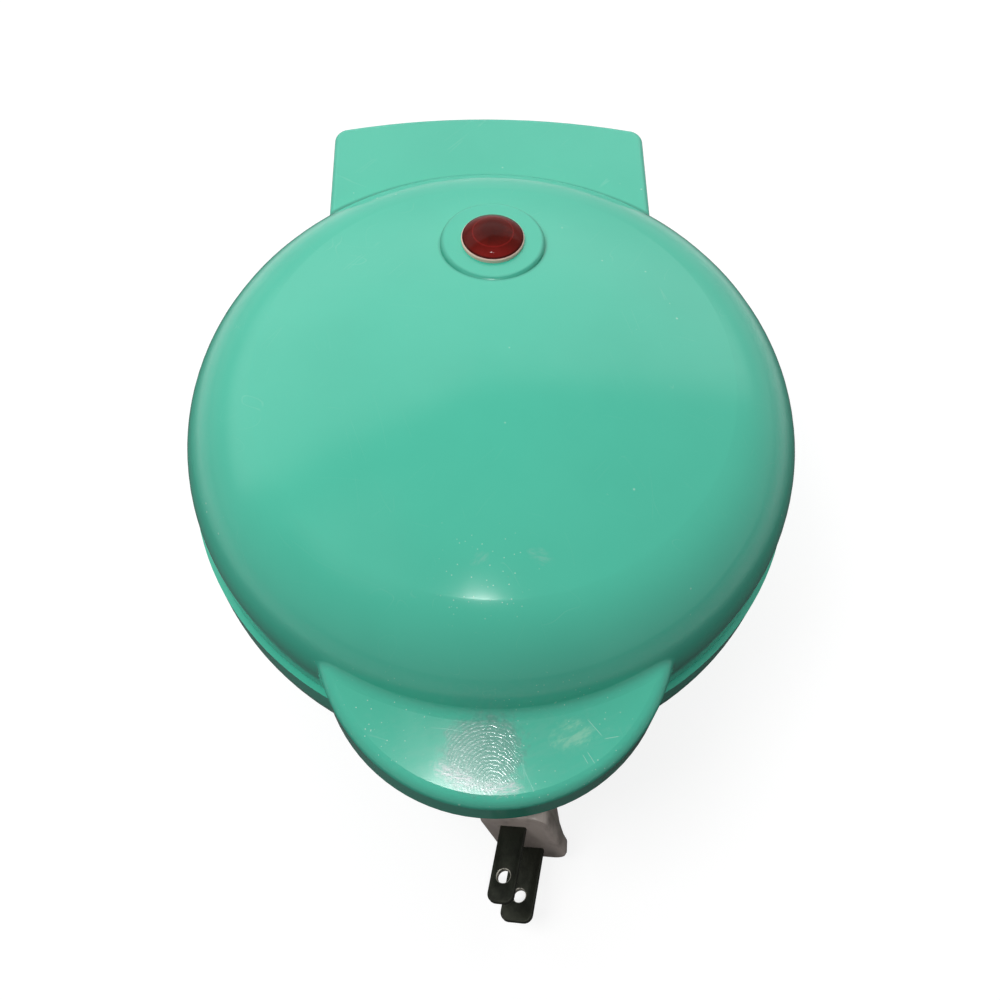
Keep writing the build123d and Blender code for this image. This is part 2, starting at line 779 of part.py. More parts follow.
with BuildPart() as lower_heat_shield:
    shield_side = pan_radius + plate_wall + shield_clearance
    with BuildSketch(Plane.XZ):
        with BuildLine():
            Polyline((0, shield_floor_z), (shield_floor_radius, shield_floor_z),
                     (shield_side, parting_height - shield_knee), (shield_side, seat_z + shield_wall),
                     (flange_radius - screw_fit, seat_z + shield_wall),
                     (flange_radius - screw_fit, seat_z), (shield_side + shield_wall, seat_z),
                     (shield_side + shield_wall, parting_height - shield_knee - shield_wall / 2),
                     (shield_floor_radius + shield_wall / 2, shield_floor_z - shield_wall),
                     (0, shield_floor_z - shield_wall), close=True)
        make_face()
    revolve(axis=Axis.Z)
    with BuildSketch(Plane.XZ.offset(-flange_radius)):
        with GridLocations(2 * element_end_x, 0, 2, 1):
            with Locations((0, element_z)):
                Circle(element_radius + shield_wall)
    extrude(amount=flange_radius / 3, mode=Mode.SUBTRACT)
    extrude(screw_spots(screw_radius + screw_fit, seat_z), amount=shield_wall, mode=Mode.SUBTRACT)
save(lower_heat_shield.part, "lower_heat_shield")

# Flat-head screws of the plates

with BuildPart() as flat_head_screw:
    with BuildSketch(Plane.XZ):
        Polygon((0, 0), (screw_head_radius, 0), (screw_radius, screw_radius - screw_head_radius),
                (screw_radius, -screw_length), (0, -screw_length), align=None)
    revolve(axis=Axis.Z)

with BuildPart() as lower_plate_screws:
    with Locations(level(plate_face_low)):
        with PolarLocations(screw_circle, screw_count, start_angle=screw_start):
            add(flat_head_screw.part)
save(lower_plate_screws.part, "lower_plate_screws")

# The lid holds the same plate, element, shield and screws upside down

for piece, name in (
    (lower_plate.part, "upper_plate"),
    (lower_element.part, "upper_element"),
    (lower_heat_shield.part, "upper_heat_shield"),
    (lower_plate_screws.part, "upper_plate_screws"),
):
    save(mirror(piece, about=level(parting_height)), name)

# Fastenings of the bottom cover, and its feet

with BuildPart() as cover_screws:
    extrude(cross_spots(cover_screw_circle, screw_radius, 0, foot_height), amount=cover_boss_height)
    extrude(cross_spots(cover_screw_circle, screw_head_radius, 0, foot_height), amount=-screw_radius)
save(cover_screws.part, "cover_screws")

foot_names = ("foot_rear_right", "foot_rear_left", "foot_front_left", "foot_front_right")
for place, name in enumerate(foot_names):
    with BuildPart() as foot:
        with Locations(Location((0, 0, 0), (0, 0, foot_angle + 90 * place))):
            with Locations((foot_circle, 0)):
                Cylinder(foot_radius, foot_height, align=(Align.CENTER, Align.CENTER, Align.MIN))
                Cylinder(foot_stem_radius, foot_height + foot_stem_length,
                         align=(Align.CENTER, Align.CENTER, Align.MIN))
        fillet(foot.edges().sort_by(Axis.Z)[0], foot_edge_radius)
    save(foot.part, name)

# Terminal block and wiring

with BuildPart() as terminal_block:
    with BuildSketch(level(terminal_z)):
        with Locations((0, terminal_y)):
            Rectangle(terminal_width, terminal_depth)
    extrude(amount=terminal_height)
save(terminal_block.part, "terminal_block")

terminal_top = terminal_z + terminal_height
wire_back_y = terminal_y + wire_setback
for side, name in ((1, "live_wire"), (-1, "neutral_wire")):
    wire_x = side * element_end_x
    wire = tube(lead_radius, (
        (side * terminal_wire_x, terminal_y, terminal_top),
        (side * terminal_wire_x, terminal_y, terminal_top + wire_drop),
        (wire_x, wire_back_y, terminal_top + wire_drop),
        (wire_x, wire_back_y, element_z),
        (wire_x, element_reach + wire_end_gap, element_z),
    ), wire_bend)
    save(wire, name)

base_harness = tube(lead_radius, (
    (-barrel_inner_x / 2, terminal_y, terminal_top),
    (-barrel_inner_x / 2, terminal_y, harness_z - harness_slope),
    (-barrel_inner_x / 2, terminal_y + harness_slope, harness_z),
    (-barrel_inner_x / 2, hinge_y, harness_z),
    (-barrel_inner_x / 2, hinge_y, hinge_z),
    (-harness_end_gap, hinge_y, hinge_z),
), harness_bend)
save(base_harness, "base_harness")

lid_harness = tube(lead_radius, (
    (harness_end_gap, hinge_y, hinge_z),
    (barrel_inner_x / 2, hinge_y, hinge_z),
    (barrel_inner_x / 2, hinge_y, lid_harness_z),
    (barrel_inner_x / 2, wire_back_y, lid_harness_z),
    (element_end_x, wire_back_y, 2 * parting_height - element_z),
    (element_end_x, element_reach + wire_end_gap, 2 * parting_height - element_z),
), wire_bend)
save(lid_harness, "lid_harness")

# Cord gland in the flat wall of the well, and the cord's end inside the housing

with BuildPart() as cord_gland:
    nose_end_y = coil_y + 2 * cord_radius
    wall_back_y = well_flat_y + cover_wall
    with BuildSketch(Plane.XZ.offset(-nose_end_y)):
        with Locations((coil_radius, layer_high)):
            Circle(gland_tip_radius)
    with BuildSketch(Plane.XZ.offset(-well_flat_y)):
        with Locations((coil_radius, layer_high)):
            Circle(gland_nose_radius)
    loft()
    with BuildSketch(Plane.XZ.offset(-well_flat_y)):
        with Locations((coil_radius, layer_high)):
            Circle(gland_neck_radius)
    extrude(amount=-cover_wall)
    with BuildSketch(Plane.XZ.offset(-wall_back_y)):
        with Locations((coil_radius, cover_top_z + screw_fit)):
            Rectangle(2 * gland_flange_half_width, gland_flange_height, align=(Align.CENTER, Align.MIN))
    extrude(amount=-gland_flange_thickness)
save(cord_gland.part, "cord_gland")

inner_cord = tube(cord_radius, (
    (coil_radius, wall_back_y + gland_flange_thickness, layer_high),
    (coil_radius, wall_back_y + gland_flange_thickness + inner_cord_lead, layer_high),
    *inner_cord_route,
    (*inner_cord_route[-1][:2], terminal_z),
), inner_cord_bend)
save(inner_cord, "inner_cord")

# Cord wound round the hub in two layers: in on the upper one, down, and out on the lower one

reaches = [coil_radius - 2 * coil_step * (half // 2) for half in range(2 * coil_turns + 1)]
crossings = [(reach, layer_high) for reach in reaches] + [(reach, layer_low) for reach in reaches[:0:-1]]
with BuildPart() as cord_coil:
    with BuildLine() as coil_route:
        Line((coil_radius, coil_y + 2 * cord_radius, layer_high), (coil_radius, coil_y, layer_high))
        for half, ((near, near_z), (far, far_z)) in enumerate(zip(crossings, crossings[1:])):
            side = 1 if half % 2 == 0 else -1
            half_way = hypot(near + far, near_z - far_z) / 2
            ThreePointArc(
                (side * near, coil_y, near_z),
                (side * (near - far) / 2, coil_y - side * half_way, (near_z + far_z) / 2),
                (-side * far, coil_y, far_z),
            )
        Line((coil_radius, coil_y, layer_low), (coil_radius, coil_y - 2 * cord_radius, layer_low))
    with BuildSketch(Plane(origin=coil_route.line @ 0, z_dir=coil_route.line % 0)):
        Circle(cord_radius)
    sweep()
save(cord_coil.part, "cord_coil")

# Least gap between two runs of the coil, taken on points at least one coil radius apart along it
coil_wire = coil_route.wires()[0]
coil_points = [coil_wire @ (step / coil_samples) for step in range(coil_samples + 1)]
coil_skip = round(coil_samples * coil_radius / coil_wire.length)
coil_spacing = min(
    (second - first).length
    for index, first in enumerate(coil_points)
    for second in coil_points[index + coil_skip:]
)
print("coil length", round(coil_wire.length, 1))
print("coil least gap to itself", round(coil_spacing - 2 * cord_radius, 2))

# The rest of the cord runs out through the channel to the plug

relief_tail = relief_end - plug_axis * relief_lead
tail_points = [
    (coil_radius, coil_y - 2 * cord_radius, layer_low),
    *tail_route,
    (relief_tail.X, relief_tail.Y, relief_tail.Z),
    (relief_end.X, relief_end.Y, relief_end.Z),
]
tail_radii = []
for before, corner, after in zip(tail_points, tail_points[1:], tail_points[2:]):
    turn = (Vector(*corner) - Vector(*before)).get_angle(Vector(*after) - Vector(*corner))
    shorter = min(dist(before, corner), dist(corner, after))
    tail_radii.append(tail_bend_share * shorter / tan(radians(turn / 2)))
print("tail points", [tuple(round(v, 2) for v in point) for point in tail_points])
print("tail radii", [round(radius, 1) for radius in tail_radii])
cord_tail = tube(cord_radius, tail_points, tail_radii)
save(cord_tail, "cord_tail")

# Two-blade plug lying on the floor under the handle

with BuildPart() as plug_body:
    face = rounded_face(plug_face_width, plug_face_height, plug_corner_radius, 0)
    neck = rounded_face(plug_neck_width, plug_neck_height, plug_neck_corner, -plug_length)
    loft([Pos(-plug_face_shift, 0, 0) * face, neck])
    with BuildSketch(level(-plug_length)):
        Circle(relief_radius)
    with BuildSketch(level(-plug_length - relief_length)):
        Circle(relief_tip_radius)
    loft()
    blade_spots = ((-blade_spacing / 2, blade_narrow_width), (blade_spacing / 2, blade_wide_width))
    for place, width in blade_spots:
        with BuildSketch():
            with Locations((0, place)):
                Rectangle(width + screw_fit / 2, blade_thickness + screw_fit / 2)
        extrude(amount=-blade_root, mode=Mode.SUBTRACT)
save(plug_plane * plug_body.part, "plug_body")

for (place, width), name in zip(blade_spots, ("blade_narrow", "blade_wide")):
    with BuildPart() as blade:
        with BuildSketch(level(-blade_root + screw_fit / 2)):
            with Locations((0, place)):
                Rectangle(width, blade_thickness)
        extrude(amount=blade_root + blade_length - screw_fit / 2)
        fillet(blade.faces().sort_by(Axis.Z)[-1].edges().filter_by(Axis.Y), blade_end_radius)
        with BuildSketch(Plane.XZ.offset(-place)):
            with Locations((0, blade_hole_place)):
                Circle(blade_hole_radius)
        extrude(amount=blade_thickness, both=True, mode=Mode.SUBTRACT)
    save(plug_plane * blade.part, name)
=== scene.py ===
"""Looks of a mini waffle maker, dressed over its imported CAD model.

Everything is in metres in the CAD's own frame: the floor is z = 0, the handle points to -Y
and the hinge lies at +Y.
"""

import json
import logging
import math
from collections.abc import Mapping, Sequence
from dataclasses import dataclass
from enum import Enum

import bmesh
import bpy
from mathutils import Matrix, Vector

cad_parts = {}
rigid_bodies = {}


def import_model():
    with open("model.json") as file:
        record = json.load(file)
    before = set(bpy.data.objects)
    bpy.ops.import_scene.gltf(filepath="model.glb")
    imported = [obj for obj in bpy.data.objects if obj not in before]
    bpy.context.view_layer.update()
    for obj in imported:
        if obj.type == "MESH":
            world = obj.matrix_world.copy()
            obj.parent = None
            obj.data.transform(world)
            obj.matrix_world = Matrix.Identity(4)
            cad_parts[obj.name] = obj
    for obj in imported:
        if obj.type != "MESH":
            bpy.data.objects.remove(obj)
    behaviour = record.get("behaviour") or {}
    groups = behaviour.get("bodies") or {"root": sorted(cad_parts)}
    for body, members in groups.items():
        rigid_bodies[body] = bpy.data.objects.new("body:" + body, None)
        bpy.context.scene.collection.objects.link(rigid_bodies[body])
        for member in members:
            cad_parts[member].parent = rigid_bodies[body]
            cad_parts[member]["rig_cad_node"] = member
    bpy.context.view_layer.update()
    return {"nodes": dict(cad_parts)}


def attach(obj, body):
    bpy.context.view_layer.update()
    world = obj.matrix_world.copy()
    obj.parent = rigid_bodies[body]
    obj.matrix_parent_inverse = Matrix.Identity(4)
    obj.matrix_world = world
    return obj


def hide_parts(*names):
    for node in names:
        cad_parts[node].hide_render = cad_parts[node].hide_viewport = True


log = logging.getLogger("waffle_maker")

Colour = tuple[float, float, float]
Point = tuple[float, float, float]
MM = 0.001

# The plug's face, and its length and width directions, as in the CAD
PLUG_FACE: Point = (6.5 * MM, -89.4 * MM, 12.9 * MM)
PLUG_AXIS: Point = (-0.205877, -0.965425, 0.159905)
PLUG_SIDE: Point = (-0.927651, 0.140513, -0.346004)
BLADE_SPACING = 12.7 * MM
BLADE_HOLE_PLACE = 11.9 * MM
BLADE_HOLE_RADIUS = 1.6 * MM
BLADE_HOLES: tuple[Point, ...] = tuple(
    tuple(
        Vector(PLUG_FACE)
        + Vector(PLUG_AXIS) * BLADE_HOLE_PLACE
        + Vector(PLUG_AXIS).cross(Vector(PLUG_SIDE)) * (side * BLADE_SPACING / 2)
    )
    for side in (-1, 1)
)


# Node arithmetic


class Value:
    """A node socket that takes part in Python arithmetic."""

    def __init__(self, network: "Network", socket: bpy.types.NodeSocket) -> None:
        """Remember the socket and the tree that it belongs to."""
        self.network = network
        self.socket = socket

    def __add__(self, other: "Feed") -> "Value":
        """Sum with a number or another socket."""
        return self.network.maths("ADD", self, other)

    __radd__ = __add__

    def __sub__(self, other: "Feed") -> "Value":
        """Difference from a number or another socket."""
        return self.network.maths("SUBTRACT", self, other)

    def __rsub__(self, other: "Feed") -> "Value":
        """Difference of a number from this socket."""
        return self.network.maths("SUBTRACT", other, self)

    def __mul__(self, other: "Feed") -> "Value":
        """Product with a number or another socket."""
        return self.network.maths("MULTIPLY", self, other)

    __rmul__ = __mul__

    def __truediv__(self, other: "Feed") -> "Value":
        """Quotient by a number or another socket."""
        return self.network.maths("DIVIDE", self, other)

    def __pow__(self, other: "Feed") -> "Value":
        """Power of this socket."""
        return self.network.maths("POWER", self, other)

    def __neg__(self) -> "Value":
        """This socket with its sign turned."""
        return self * -1

    def __abs__(self) -> "Value":
        """This socket without its sign."""
        return self.network.maths("ABSOLUTE", self)


Feed = Value | float | Sequence[float]


class Network:
    """Node tree whose sockets take part in Python arithmetic."""

    def __init__(self, tree: bpy.types.NodeTree) -> None:
        """Work in a tree."""
        self.tree = tree

    def node(
        self,
        kind: str,
        settings: Mapping[str, object],
        inputs: Mapping[str | int, object],
        output: str | int = 0,
    ) -> Value:
        """Add a node.

        Args:
            kind: Type name of the node.
            settings: Attributes to set first.
            inputs: Values or links of its sockets, by name or by number; a list links them all.
            output: Socket to return, by name or by number.

        Returns:
            The chosen output as a value.
        """
        made = self.tree.nodes.new(kind)
        for name, setting in settings.items():
            setattr(made, name, setting)
        for key, feed in inputs.items():
            if isinstance(feed, Value):
                self.tree.links.new(feed.socket, made.inputs[key])
            elif isinstance(feed, list):
                for part in feed:
                    self.tree.links.new(part.socket, made.inputs[key])
            else:
                made.inputs[key].default_value = feed
        return Value(self, made.outputs[output])

    def maths(self, operation: str, first: Feed, second: Feed = 0.0) -> Value:
        """Combine two numbers with a Math node.

        Args:
            operation: Name of the node's operation.
            first: First number.
            second: Second number.

        Returns:
            The result.
        """
        return self.node("ShaderNodeMath", {"operation": operation}, {0: first, 1: second})

    def hypotenuse(self, first: Value, second: Value) -> Value:
        """Length of a vector with two parts."""
        return self.maths("SQRT", first**2 + second**2)

    def axis(self, where: Value, name: str) -> Value:
        """One of the three parts of a vector."""
        return self.node("ShaderNodeSeparateXYZ", {}, {"Vector": where}, name)

    def length(self, where: Value) -> Value:
        """Length of a vector."""
        return self.node("ShaderNodeVectorMath", {"operation": "LENGTH"}, {0: where}, "Value")

    def ray(self, kind: str) -> Value:
        """1 for one kind of ray, such as Camera or Glossy, and 0 for the others."""
        return self.node("ShaderNodeLightPath", {}, {}, f"Is {kind} Ray")

    def mirrored(self) -> Value:
        """1 for rays that gloss or glass sends on, and 0 for the others."""
        return self.maths("MAXIMUM", self.ray("Glossy"), self.ray("Transmission"))

    def between(self, value: Feed, low: float, high: float) -> Value:
        """Smooth step from 0 at one value to 1 at another.

        Args:
            value: Number to map.
            low: Value that gives 0.
            high: Value that gives 1.

        Returns:
            A number from 0 to 1.
        """
        return self.node(
            "ShaderNodeMapRange",
            {"interpolation_type": "SMOOTHSTEP"},
            {"Value": value, "From Min": low, "From Max": high},
        )

    def fade(self, value: Feed, low: float, high: float) -> Value:
        """Smooth step the other way, from 1 at the low value to 0 at the high one."""
        return 1 - self.between(value, low, high)

    def wave(self, value: Feed) -> Value:
        """Sine of an angle in radians, from 0 to 1."""
        return self.maths("SINE", value) * 0.5 + 0.5


class Graph(Network):
    """Node tree of one material."""

    def __init__(self, name: str) -> None:
        """Start an empty material.

        Args:
            name: Name of the material.
        """
        self.material = bpy.data.materials.new(name)
        self.material.use_nodes = True
        super().__init__(self.material.node_tree)
        self.tree.nodes.clear()

    def place(
        self, centre: Point = (0, 0, 0), turn: Point = (0, 0, 0), scale: Point = (1, 1, 1)
    ) -> Value:
        """Object coordinates, moved, turned and scaled.

        Args:
            centre: Point that becomes the pattern's origin, in metres.
            turn: Turn of the pattern about each axis, in radians.
            scale: Size of the pattern along each axis.

        Returns:
            The coordinates.
        """
        where = self.node("ShaderNodeTexCoord", {}, {}, "Object")
        if centre == (0, 0, 0) and turn == (0, 0, 0) and scale == (1, 1, 1):
            return where
        return self.node(
            "ShaderNodeMapping",
            {"vector_type": "TEXTURE"},
            {"Vector": where, "Location": centre, "Rotation": turn, "Scale": scale},
        )

    def noise(self, where: Value, size: float, detail: float = 3.0, roughness: float = 0.5) -> Value:
        """Soft noise about as coarse as a size.

        Args:
            where: Coordinates.
            size: Size of its blotches, in metres.
            detail: Octaves of finer noise.
            roughness: Strength of the finer noise.

        Returns:
            A number from 0 to 1.
        """
        return self.node(
            "ShaderNodeTexNoise",
            {"noise_dimensions": "3D"},
            {"Vector": where, "Scale": 1 / size, "Detail": detail, "Roughness": roughness},
        )

    def cells(self, where: Value, size: float) -> Value:
        """Distance to the nearest of scattered points.

        Args:
            where: Coordinates.
            size: Mean distance between the points, in metres.

        Returns:
            The distance, as a share of that size.
        """
        return self.node(
            "ShaderNodeTexVoronoi", {"feature": "F1"}, {"Vector": where, "Scale": 1 / size}, "Distance"
        )

    def blend(self, mask: Feed, first: Feed, second: Feed) -> Value:
        """Mix two colours.

        Args:
            mask: 0 for the first colour, 1 for the second.
            first: First colour.
            second: Second colour.

        Returns:
            The mixed colour.
        """
        colours = [(*c, 1.0) if isinstance(c, tuple) else c for c in (first, second)]
        return self.node(
            "ShaderNodeMix", {"data_type": "RGBA"}, {0: mask, 6: colours[0], 7: colours[1]}, 2
        )

    def bump(self, height: Feed, distance: float) -> Value:
        """Normal that follows a height.

        Args:
            height: Height, from 0 to 1.
            distance: What a height of 1 stands for, in metres.

        Returns:
            The normal.
        """
        return self.node(
            "ShaderNodeBump", {}, {"Height": height, "Distance": distance, "Strength": 1.0}, "Normal"
        )

    def diffuse(self, colour: Feed) -> Value:
        """Matt shader of one colour or of a colour that varies."""
        fixed = (*colour, 1.0) if isinstance(colour, tuple) else colour
        return self.node("ShaderNodeBsdfDiffuse", {}, {"Color": fixed})

    def mixed(self, mask: Feed, first: Value, second: Value) -> Value:
        """Mix of two shaders, the second one where the mask is 1."""
        return self.node("ShaderNodeMixShader", {}, {0: mask, 1: first, 2: second})

    def finish(self, inputs: Mapping[str, Feed]) -> bpy.types.Material:
        """Close the tree with a Principled shader.

        Args:
            inputs: Values or links of its sockets.

        Returns:
            The finished material.
        """
        fixed = {name: (*feed, 1.0) if isinstance(feed, tuple) and len(feed) == 3 else feed
                 for name, feed in inputs.items()}
        shader = self.node("ShaderNodeBsdfPrincipled", {}, fixed, "BSDF")
        self.node_output(shader)
        return self.material

    def node_output(self, shader: Value) -> None:
        """Link a shader to the material's output."""
        target = self.tree.nodes.new("ShaderNodeOutputMaterial")
        self.tree.links.new(shader.socket, target.inputs["Surface"])


# Shapes


Pair = tuple[float, float]
Profile = Sequence[Pair]
WELD = 0.0005 * MM


def lathe(
    profile: Profile, steps: int = 48, start: float = 0.0, end: float = 360.0
) -> bmesh.types.BMesh:
    """Turn a half section about the vertical axis.

    Args:
        profile: Radius and height of its points; it closes on itself or on the axis.
        steps: Flats round the turn.
        start: Angle at which the turn starts, in degrees.
        end: Angle at which it ends.

    Returns:
        The closed shape.
    """
    shape = bmesh.new()
    whole = end - start >= 360
    rings = []
    for step in range(steps if whole else steps + 1):
        angle = math.radians(start + (end - start) * step / steps)
        rings.append([
            shape.verts.new((radius * math.cos(angle), radius * math.sin(angle), height))
            for radius, height in profile
        ])
    count = len(profile)
    pairs = list(zip(rings, rings[1:] + rings[:1] if whole else rings[1:]))
    for near, far in pairs:
        for index in range(count):
            after = (index + 1) % count
            if profile[index][0] > 0 or profile[after][0] > 0:
                shape.faces.new((near[index], near[after], far[after], far[index]))
    if not whole:
        shape.faces.new(rings[0])
        shape.faces.new(rings[-1])
    bmesh.ops.remove_doubles(shape, verts=shape.verts, dist=WELD)
    bmesh.ops.dissolve_degenerate(shape, edges=shape.edges, dist=WELD)
    bmesh.ops.recalc_face_normals(shape, faces=shape.faces)
    return shape


def arc(centre: Pair, radius: float, start: float, end: float, steps: int) -> list[Pair]:
    """Points along an arc of a profile.

    Args:
        centre: Its centre.
        radius: Its radius.
        start: Angle of its first point, in degrees.
        end: Angle of its last point.
        steps: Number of parts.

    Returns:
        The points.
    """
    points = []
    for step in range(steps + 1):
        angle = math.radians(start + (end - start) * step / steps)
        points.append((centre[0] + radius * math.cos(angle), centre[1] + radius * math.sin(angle)))
    return points


def rounded_rectangle(width: float, depth: float, corner: float, steps: int = 5) -> list[Pair]:
    """Outline of a rectangle with round corners.

    Args:
        width: Size along the first direction.
        depth: Size along the second one.
        corner: Radius of its corners.
        steps: Parts of each corner.

    Returns:
        Its points, anticlockwise.
    """
    points = []
    for side_x, side_y, start in ((1, 1, 0), (-1, 1, 90), (-1, -1, 180), (1, -1, 270)):
        centre = (side_x * (width / 2 - corner), side_y * (depth / 2 - corner))
        points += arc(centre, corner, start, start + 90, steps)
    return points


def smooth(mesh: bpy.types.Mesh, angle: float = 38.0) -> None:
    """Shade a mesh smoothly, up to an angle in degrees."""
    mesh.shade_smooth()
    mesh.set_sharp_from_angle(angle=math.radians(angle))


def put(name: str, data: bpy.types.ID) -> bpy.types.Object:
    """Put a new object that holds some data in the scene."""
    piece = bpy.data.objects.new(name, data)
    bpy.context.scene.collection.objects.link(piece)
    return piece


def settle(name: str, shape: bmesh.types.BMesh) -> bpy.types.Object:
    """Make a piece of a shape.

    Args:
        name: Name of the piece.
        shape: The shape, which is used up.

    Returns:
        The piece.
    """
    mesh = bpy.data.meshes.new(name)
    shape.to_mesh(mesh)
    shape.free()
    smooth(mesh)
    return put(name, mesh)


def merge(name: str, parts: Sequence[bpy.types.Object], move: Matrix | None = None) -> bpy.types.Object:
    """Join several pieces in one.

    Args:
        name: Name of the new piece.
        parts: The pieces, which are used up.
        move: Where the whole goes; a mirror turns the faces round as well.

    Returns:
        The new piece.
    """
    shape = bmesh.new()
    for part in parts:
        shape.from_mesh(part.data)
        bpy.data.objects.remove(part)
    if move is not None:
        bmesh.ops.transform(shape, matrix=move, verts=shape.verts)
        if move.determinant() < 0:
            bmesh.ops.reverse_faces(shape, faces=shape.faces)
    return settle(name, shape)


class Layout(Network):
    """Geometry Nodes tree that repeats one shape."""

    def __init__(self, name: str, sizes: Mapping[str, float]) -> None:
        """Start a tree with a named input for each size.

        Args:
            name: Name of the tree and its piece.
            sizes: The sizes, by name.
        """
        super().__init__(bpy.data.node_groups.new(name, "GeometryNodeTree"))
        self.name = name
        face = self.tree.interface
        face.new_socket("Geometry", in_out="OUTPUT", socket_type="NodeSocketGeometry")
        face.new_socket("Shape", in_out="INPUT", socket_type="NodeSocketGeometry")
        self.settings = {
            face.new_socket(label, in_out="INPUT", socket_type="NodeSocketFloat").identifier: size
            for label, size in sizes.items()
        }
        entry = self.tree.nodes.new("NodeGroupInput")
        self.shape = Value(self, entry.outputs["Shape"])
        self.size = {label: Value(self, entry.outputs[label]) for label in sizes}

    def vector(self, x: Feed = 0.0, y: Feed = 0.0, z: Feed = 0.0) -> Value:
        """Vector of three numbers."""
        return self.node("ShaderNodeCombineXYZ", {}, {"X": x, "Y": y, "Z": z})

    def moved(self, geometry: Value, offset: Value, turn: Feed = (0, 0, 0)) -> Value:
        """Geometry turned about the origin and then moved.

        Args:
            geometry: The geometry.
            offset: How far it moves.
            turn: Its turn about each axis, in radians.

        Returns:
            The moved geometry.
        """
        return self.node(
            "GeometryNodeTransform", {}, {"Geometry": geometry, "Translation": offset, "Rotation": turn}
        )

    def cut(self, operation: str, first: Value, others: list[Value]) -> Value:
        """Cut one solid by others.

        Args:
            operation: DIFFERENCE or INTERSECT.
            first: The solid.
            others: The solids that cut it.

        Returns:
            What is left.
        """
        if operation == "DIFFERENCE":
            sockets = {"Mesh 1": first, "Mesh 2": others}
        else:
            sockets = {"Mesh 2": [first, *others]}
        settings = {"operation": operation, "solver": "EXACT"}
        return self.node("GeometryNodeMeshBoolean", settings, sockets)

    def repeated(
        self, points: Value, shape: Value, turn: Feed = (0, 0, 0), scale: Feed = (1, 1, 1)
    ) -> Value:
        """A shape set on every point.

        Args:
            points: The points.
            shape: The shape.
            turn: Turn of each copy.
            scale: Scale of each copy.

        Returns:
            The copies.
        """
        return self.node(
            "GeometryNodeInstanceOnPoints",
            {},
            {"Points": points, "Instance": shape, "Rotation": turn, "Scale": scale},
        )

    def circle(self, count: Feed, height: Feed = 0.0) -> Value:
        """Points on a circle, which takes its radius from Circle and its first angle from Start.

        Args:
            count: Number of points.
            height: Height of the circle.

        Returns:
            The points.
        """
        sizes = {"Vertices": count, "Radius": self.size["Circle"]}
        ring = self.node("GeometryNodeMeshCircle", {}, sizes)
        return self.moved(ring, self.vector(z=height), self.vector(z=self.size["Start"]))

    def bake(
        self, template: bmesh.types.BMesh, laid: Value, material: bpy.types.Material
    ) -> bpy.types.Object:
        """Run the tree and keep its result as a plain mesh.

        Args:
            template: The shape that is repeated, which is used up.
            laid: The geometry to keep.
            material: Material of the whole.

        Returns:
            The piece.
        """
        plain = self.node("GeometryNodeRealizeInstances", {}, {"Geometry": laid})
        dressed = self.node("GeometryNodeSetMaterial", {}, {"Geometry": plain, "Material": material})
        target = self.tree.nodes.new("NodeGroupOutput")
        self.tree.links.new(dressed.socket, target.inputs["Geometry"])
        piece = settle(self.name, template)
        modifier = piece.modifiers.new(self.name, "NODES")
        modifier.node_group = self.tree
        for identifier, size in self.settings.items():
            modifier[identifier] = size
        evaluated = piece.evaluated_get(bpy.context.evaluated_depsgraph_get())
        mesh = bpy.data.meshes.new_from_object(evaluated)
        piece.modifiers.remove(modifier)
        piece.data = mesh
        smooth(mesh)
        return piece


# Finishes


@dataclass(frozen=True)
class Fingerprint:
    """Greasy print of a fingertip on the plastic, in millimetres but for its centre."""

    centre: Point
    half_width: float
    half_height: float
    turn: float
    pitch: float = 0.62
    tint: Colour = (0.14, 0.15, 0.16)
    ridge_tint: Colour = (0.44, 0.54, 0.53)

    def mask(self, graph: Graph) -> tuple[Value, Value]:
        """Build the print's pattern.

        Args:
            graph: Material to build in.

        Returns:
            Its ridges and the area that it covers, each from 0 to 1.
        """
        where = graph.place(self.centre, (0, 0, self.turn), (MM, MM, 30 * MM))
        across = graph.axis(where, "X")
        along = graph.axis(where, "Y")
        wander = graph.noise(where, 5.0, 2.0) - 0.5
        ragged = graph.noise(where, 1.6, 4.0) - 0.5
        reach = graph.hypotenuse(across / self.half_width, along / self.half_height)
        area = graph.fade(reach + ragged * 0.7 + wander * 0.4, 0.62, 1.0)
        loop = graph.hypotenuse(across + wander * 3.0, along * 0.8 + 5.5)
        wave = graph.wave(loop * (2 * math.pi / self.pitch) + wander * 5.0)
        broken = graph.between(graph.noise(where, 0.8, 3.0), 0.36, 0.62)
        return graph.between(wave, 0.35, 0.8) * broken * area, area


@dataclass(frozen=True)
class GreaseAndSheen:
    """Greasy streaks wiped over the plastic, made pale by painted sheen, in millimetres but for their
    centre.
    """

    centre: Point
    half_width: float
    half_height: float
    turn: float
    strength: float
    streak: float = 0.5
    # Pale colour of the painted sheen
    colour: Colour = (0.46, 0.51, 0.52)

    def mask(self, graph: Graph) -> Value:
        """Build the smear's pattern.

        Args:
            graph: Material to build in.

        Returns:
            How pale it is, from 0 to its strength.
        """
        where = graph.place(self.centre, (0, 0, self.turn), (MM, MM, 30 * MM))
        across = graph.axis(where, "X") / self.half_width
        along = graph.axis(where, "Y") / self.half_height
        ragged = graph.noise(where, 1.5, 4.0) - 0.5
        reach = graph.hypotenuse(across, along) + ragged * 1.1
        long = graph.place(self.centre, (0, 0, self.turn + 0.35), (3.5 * MM, MM, 30 * MM))
        streaks = graph.between(graph.noise(long, self.streak, 4.0, 0.7), 0.42, 0.62)
        return graph.fade(reach, 0.35, 1.0) * (streaks * 0.85 + 0.15) * self.strength


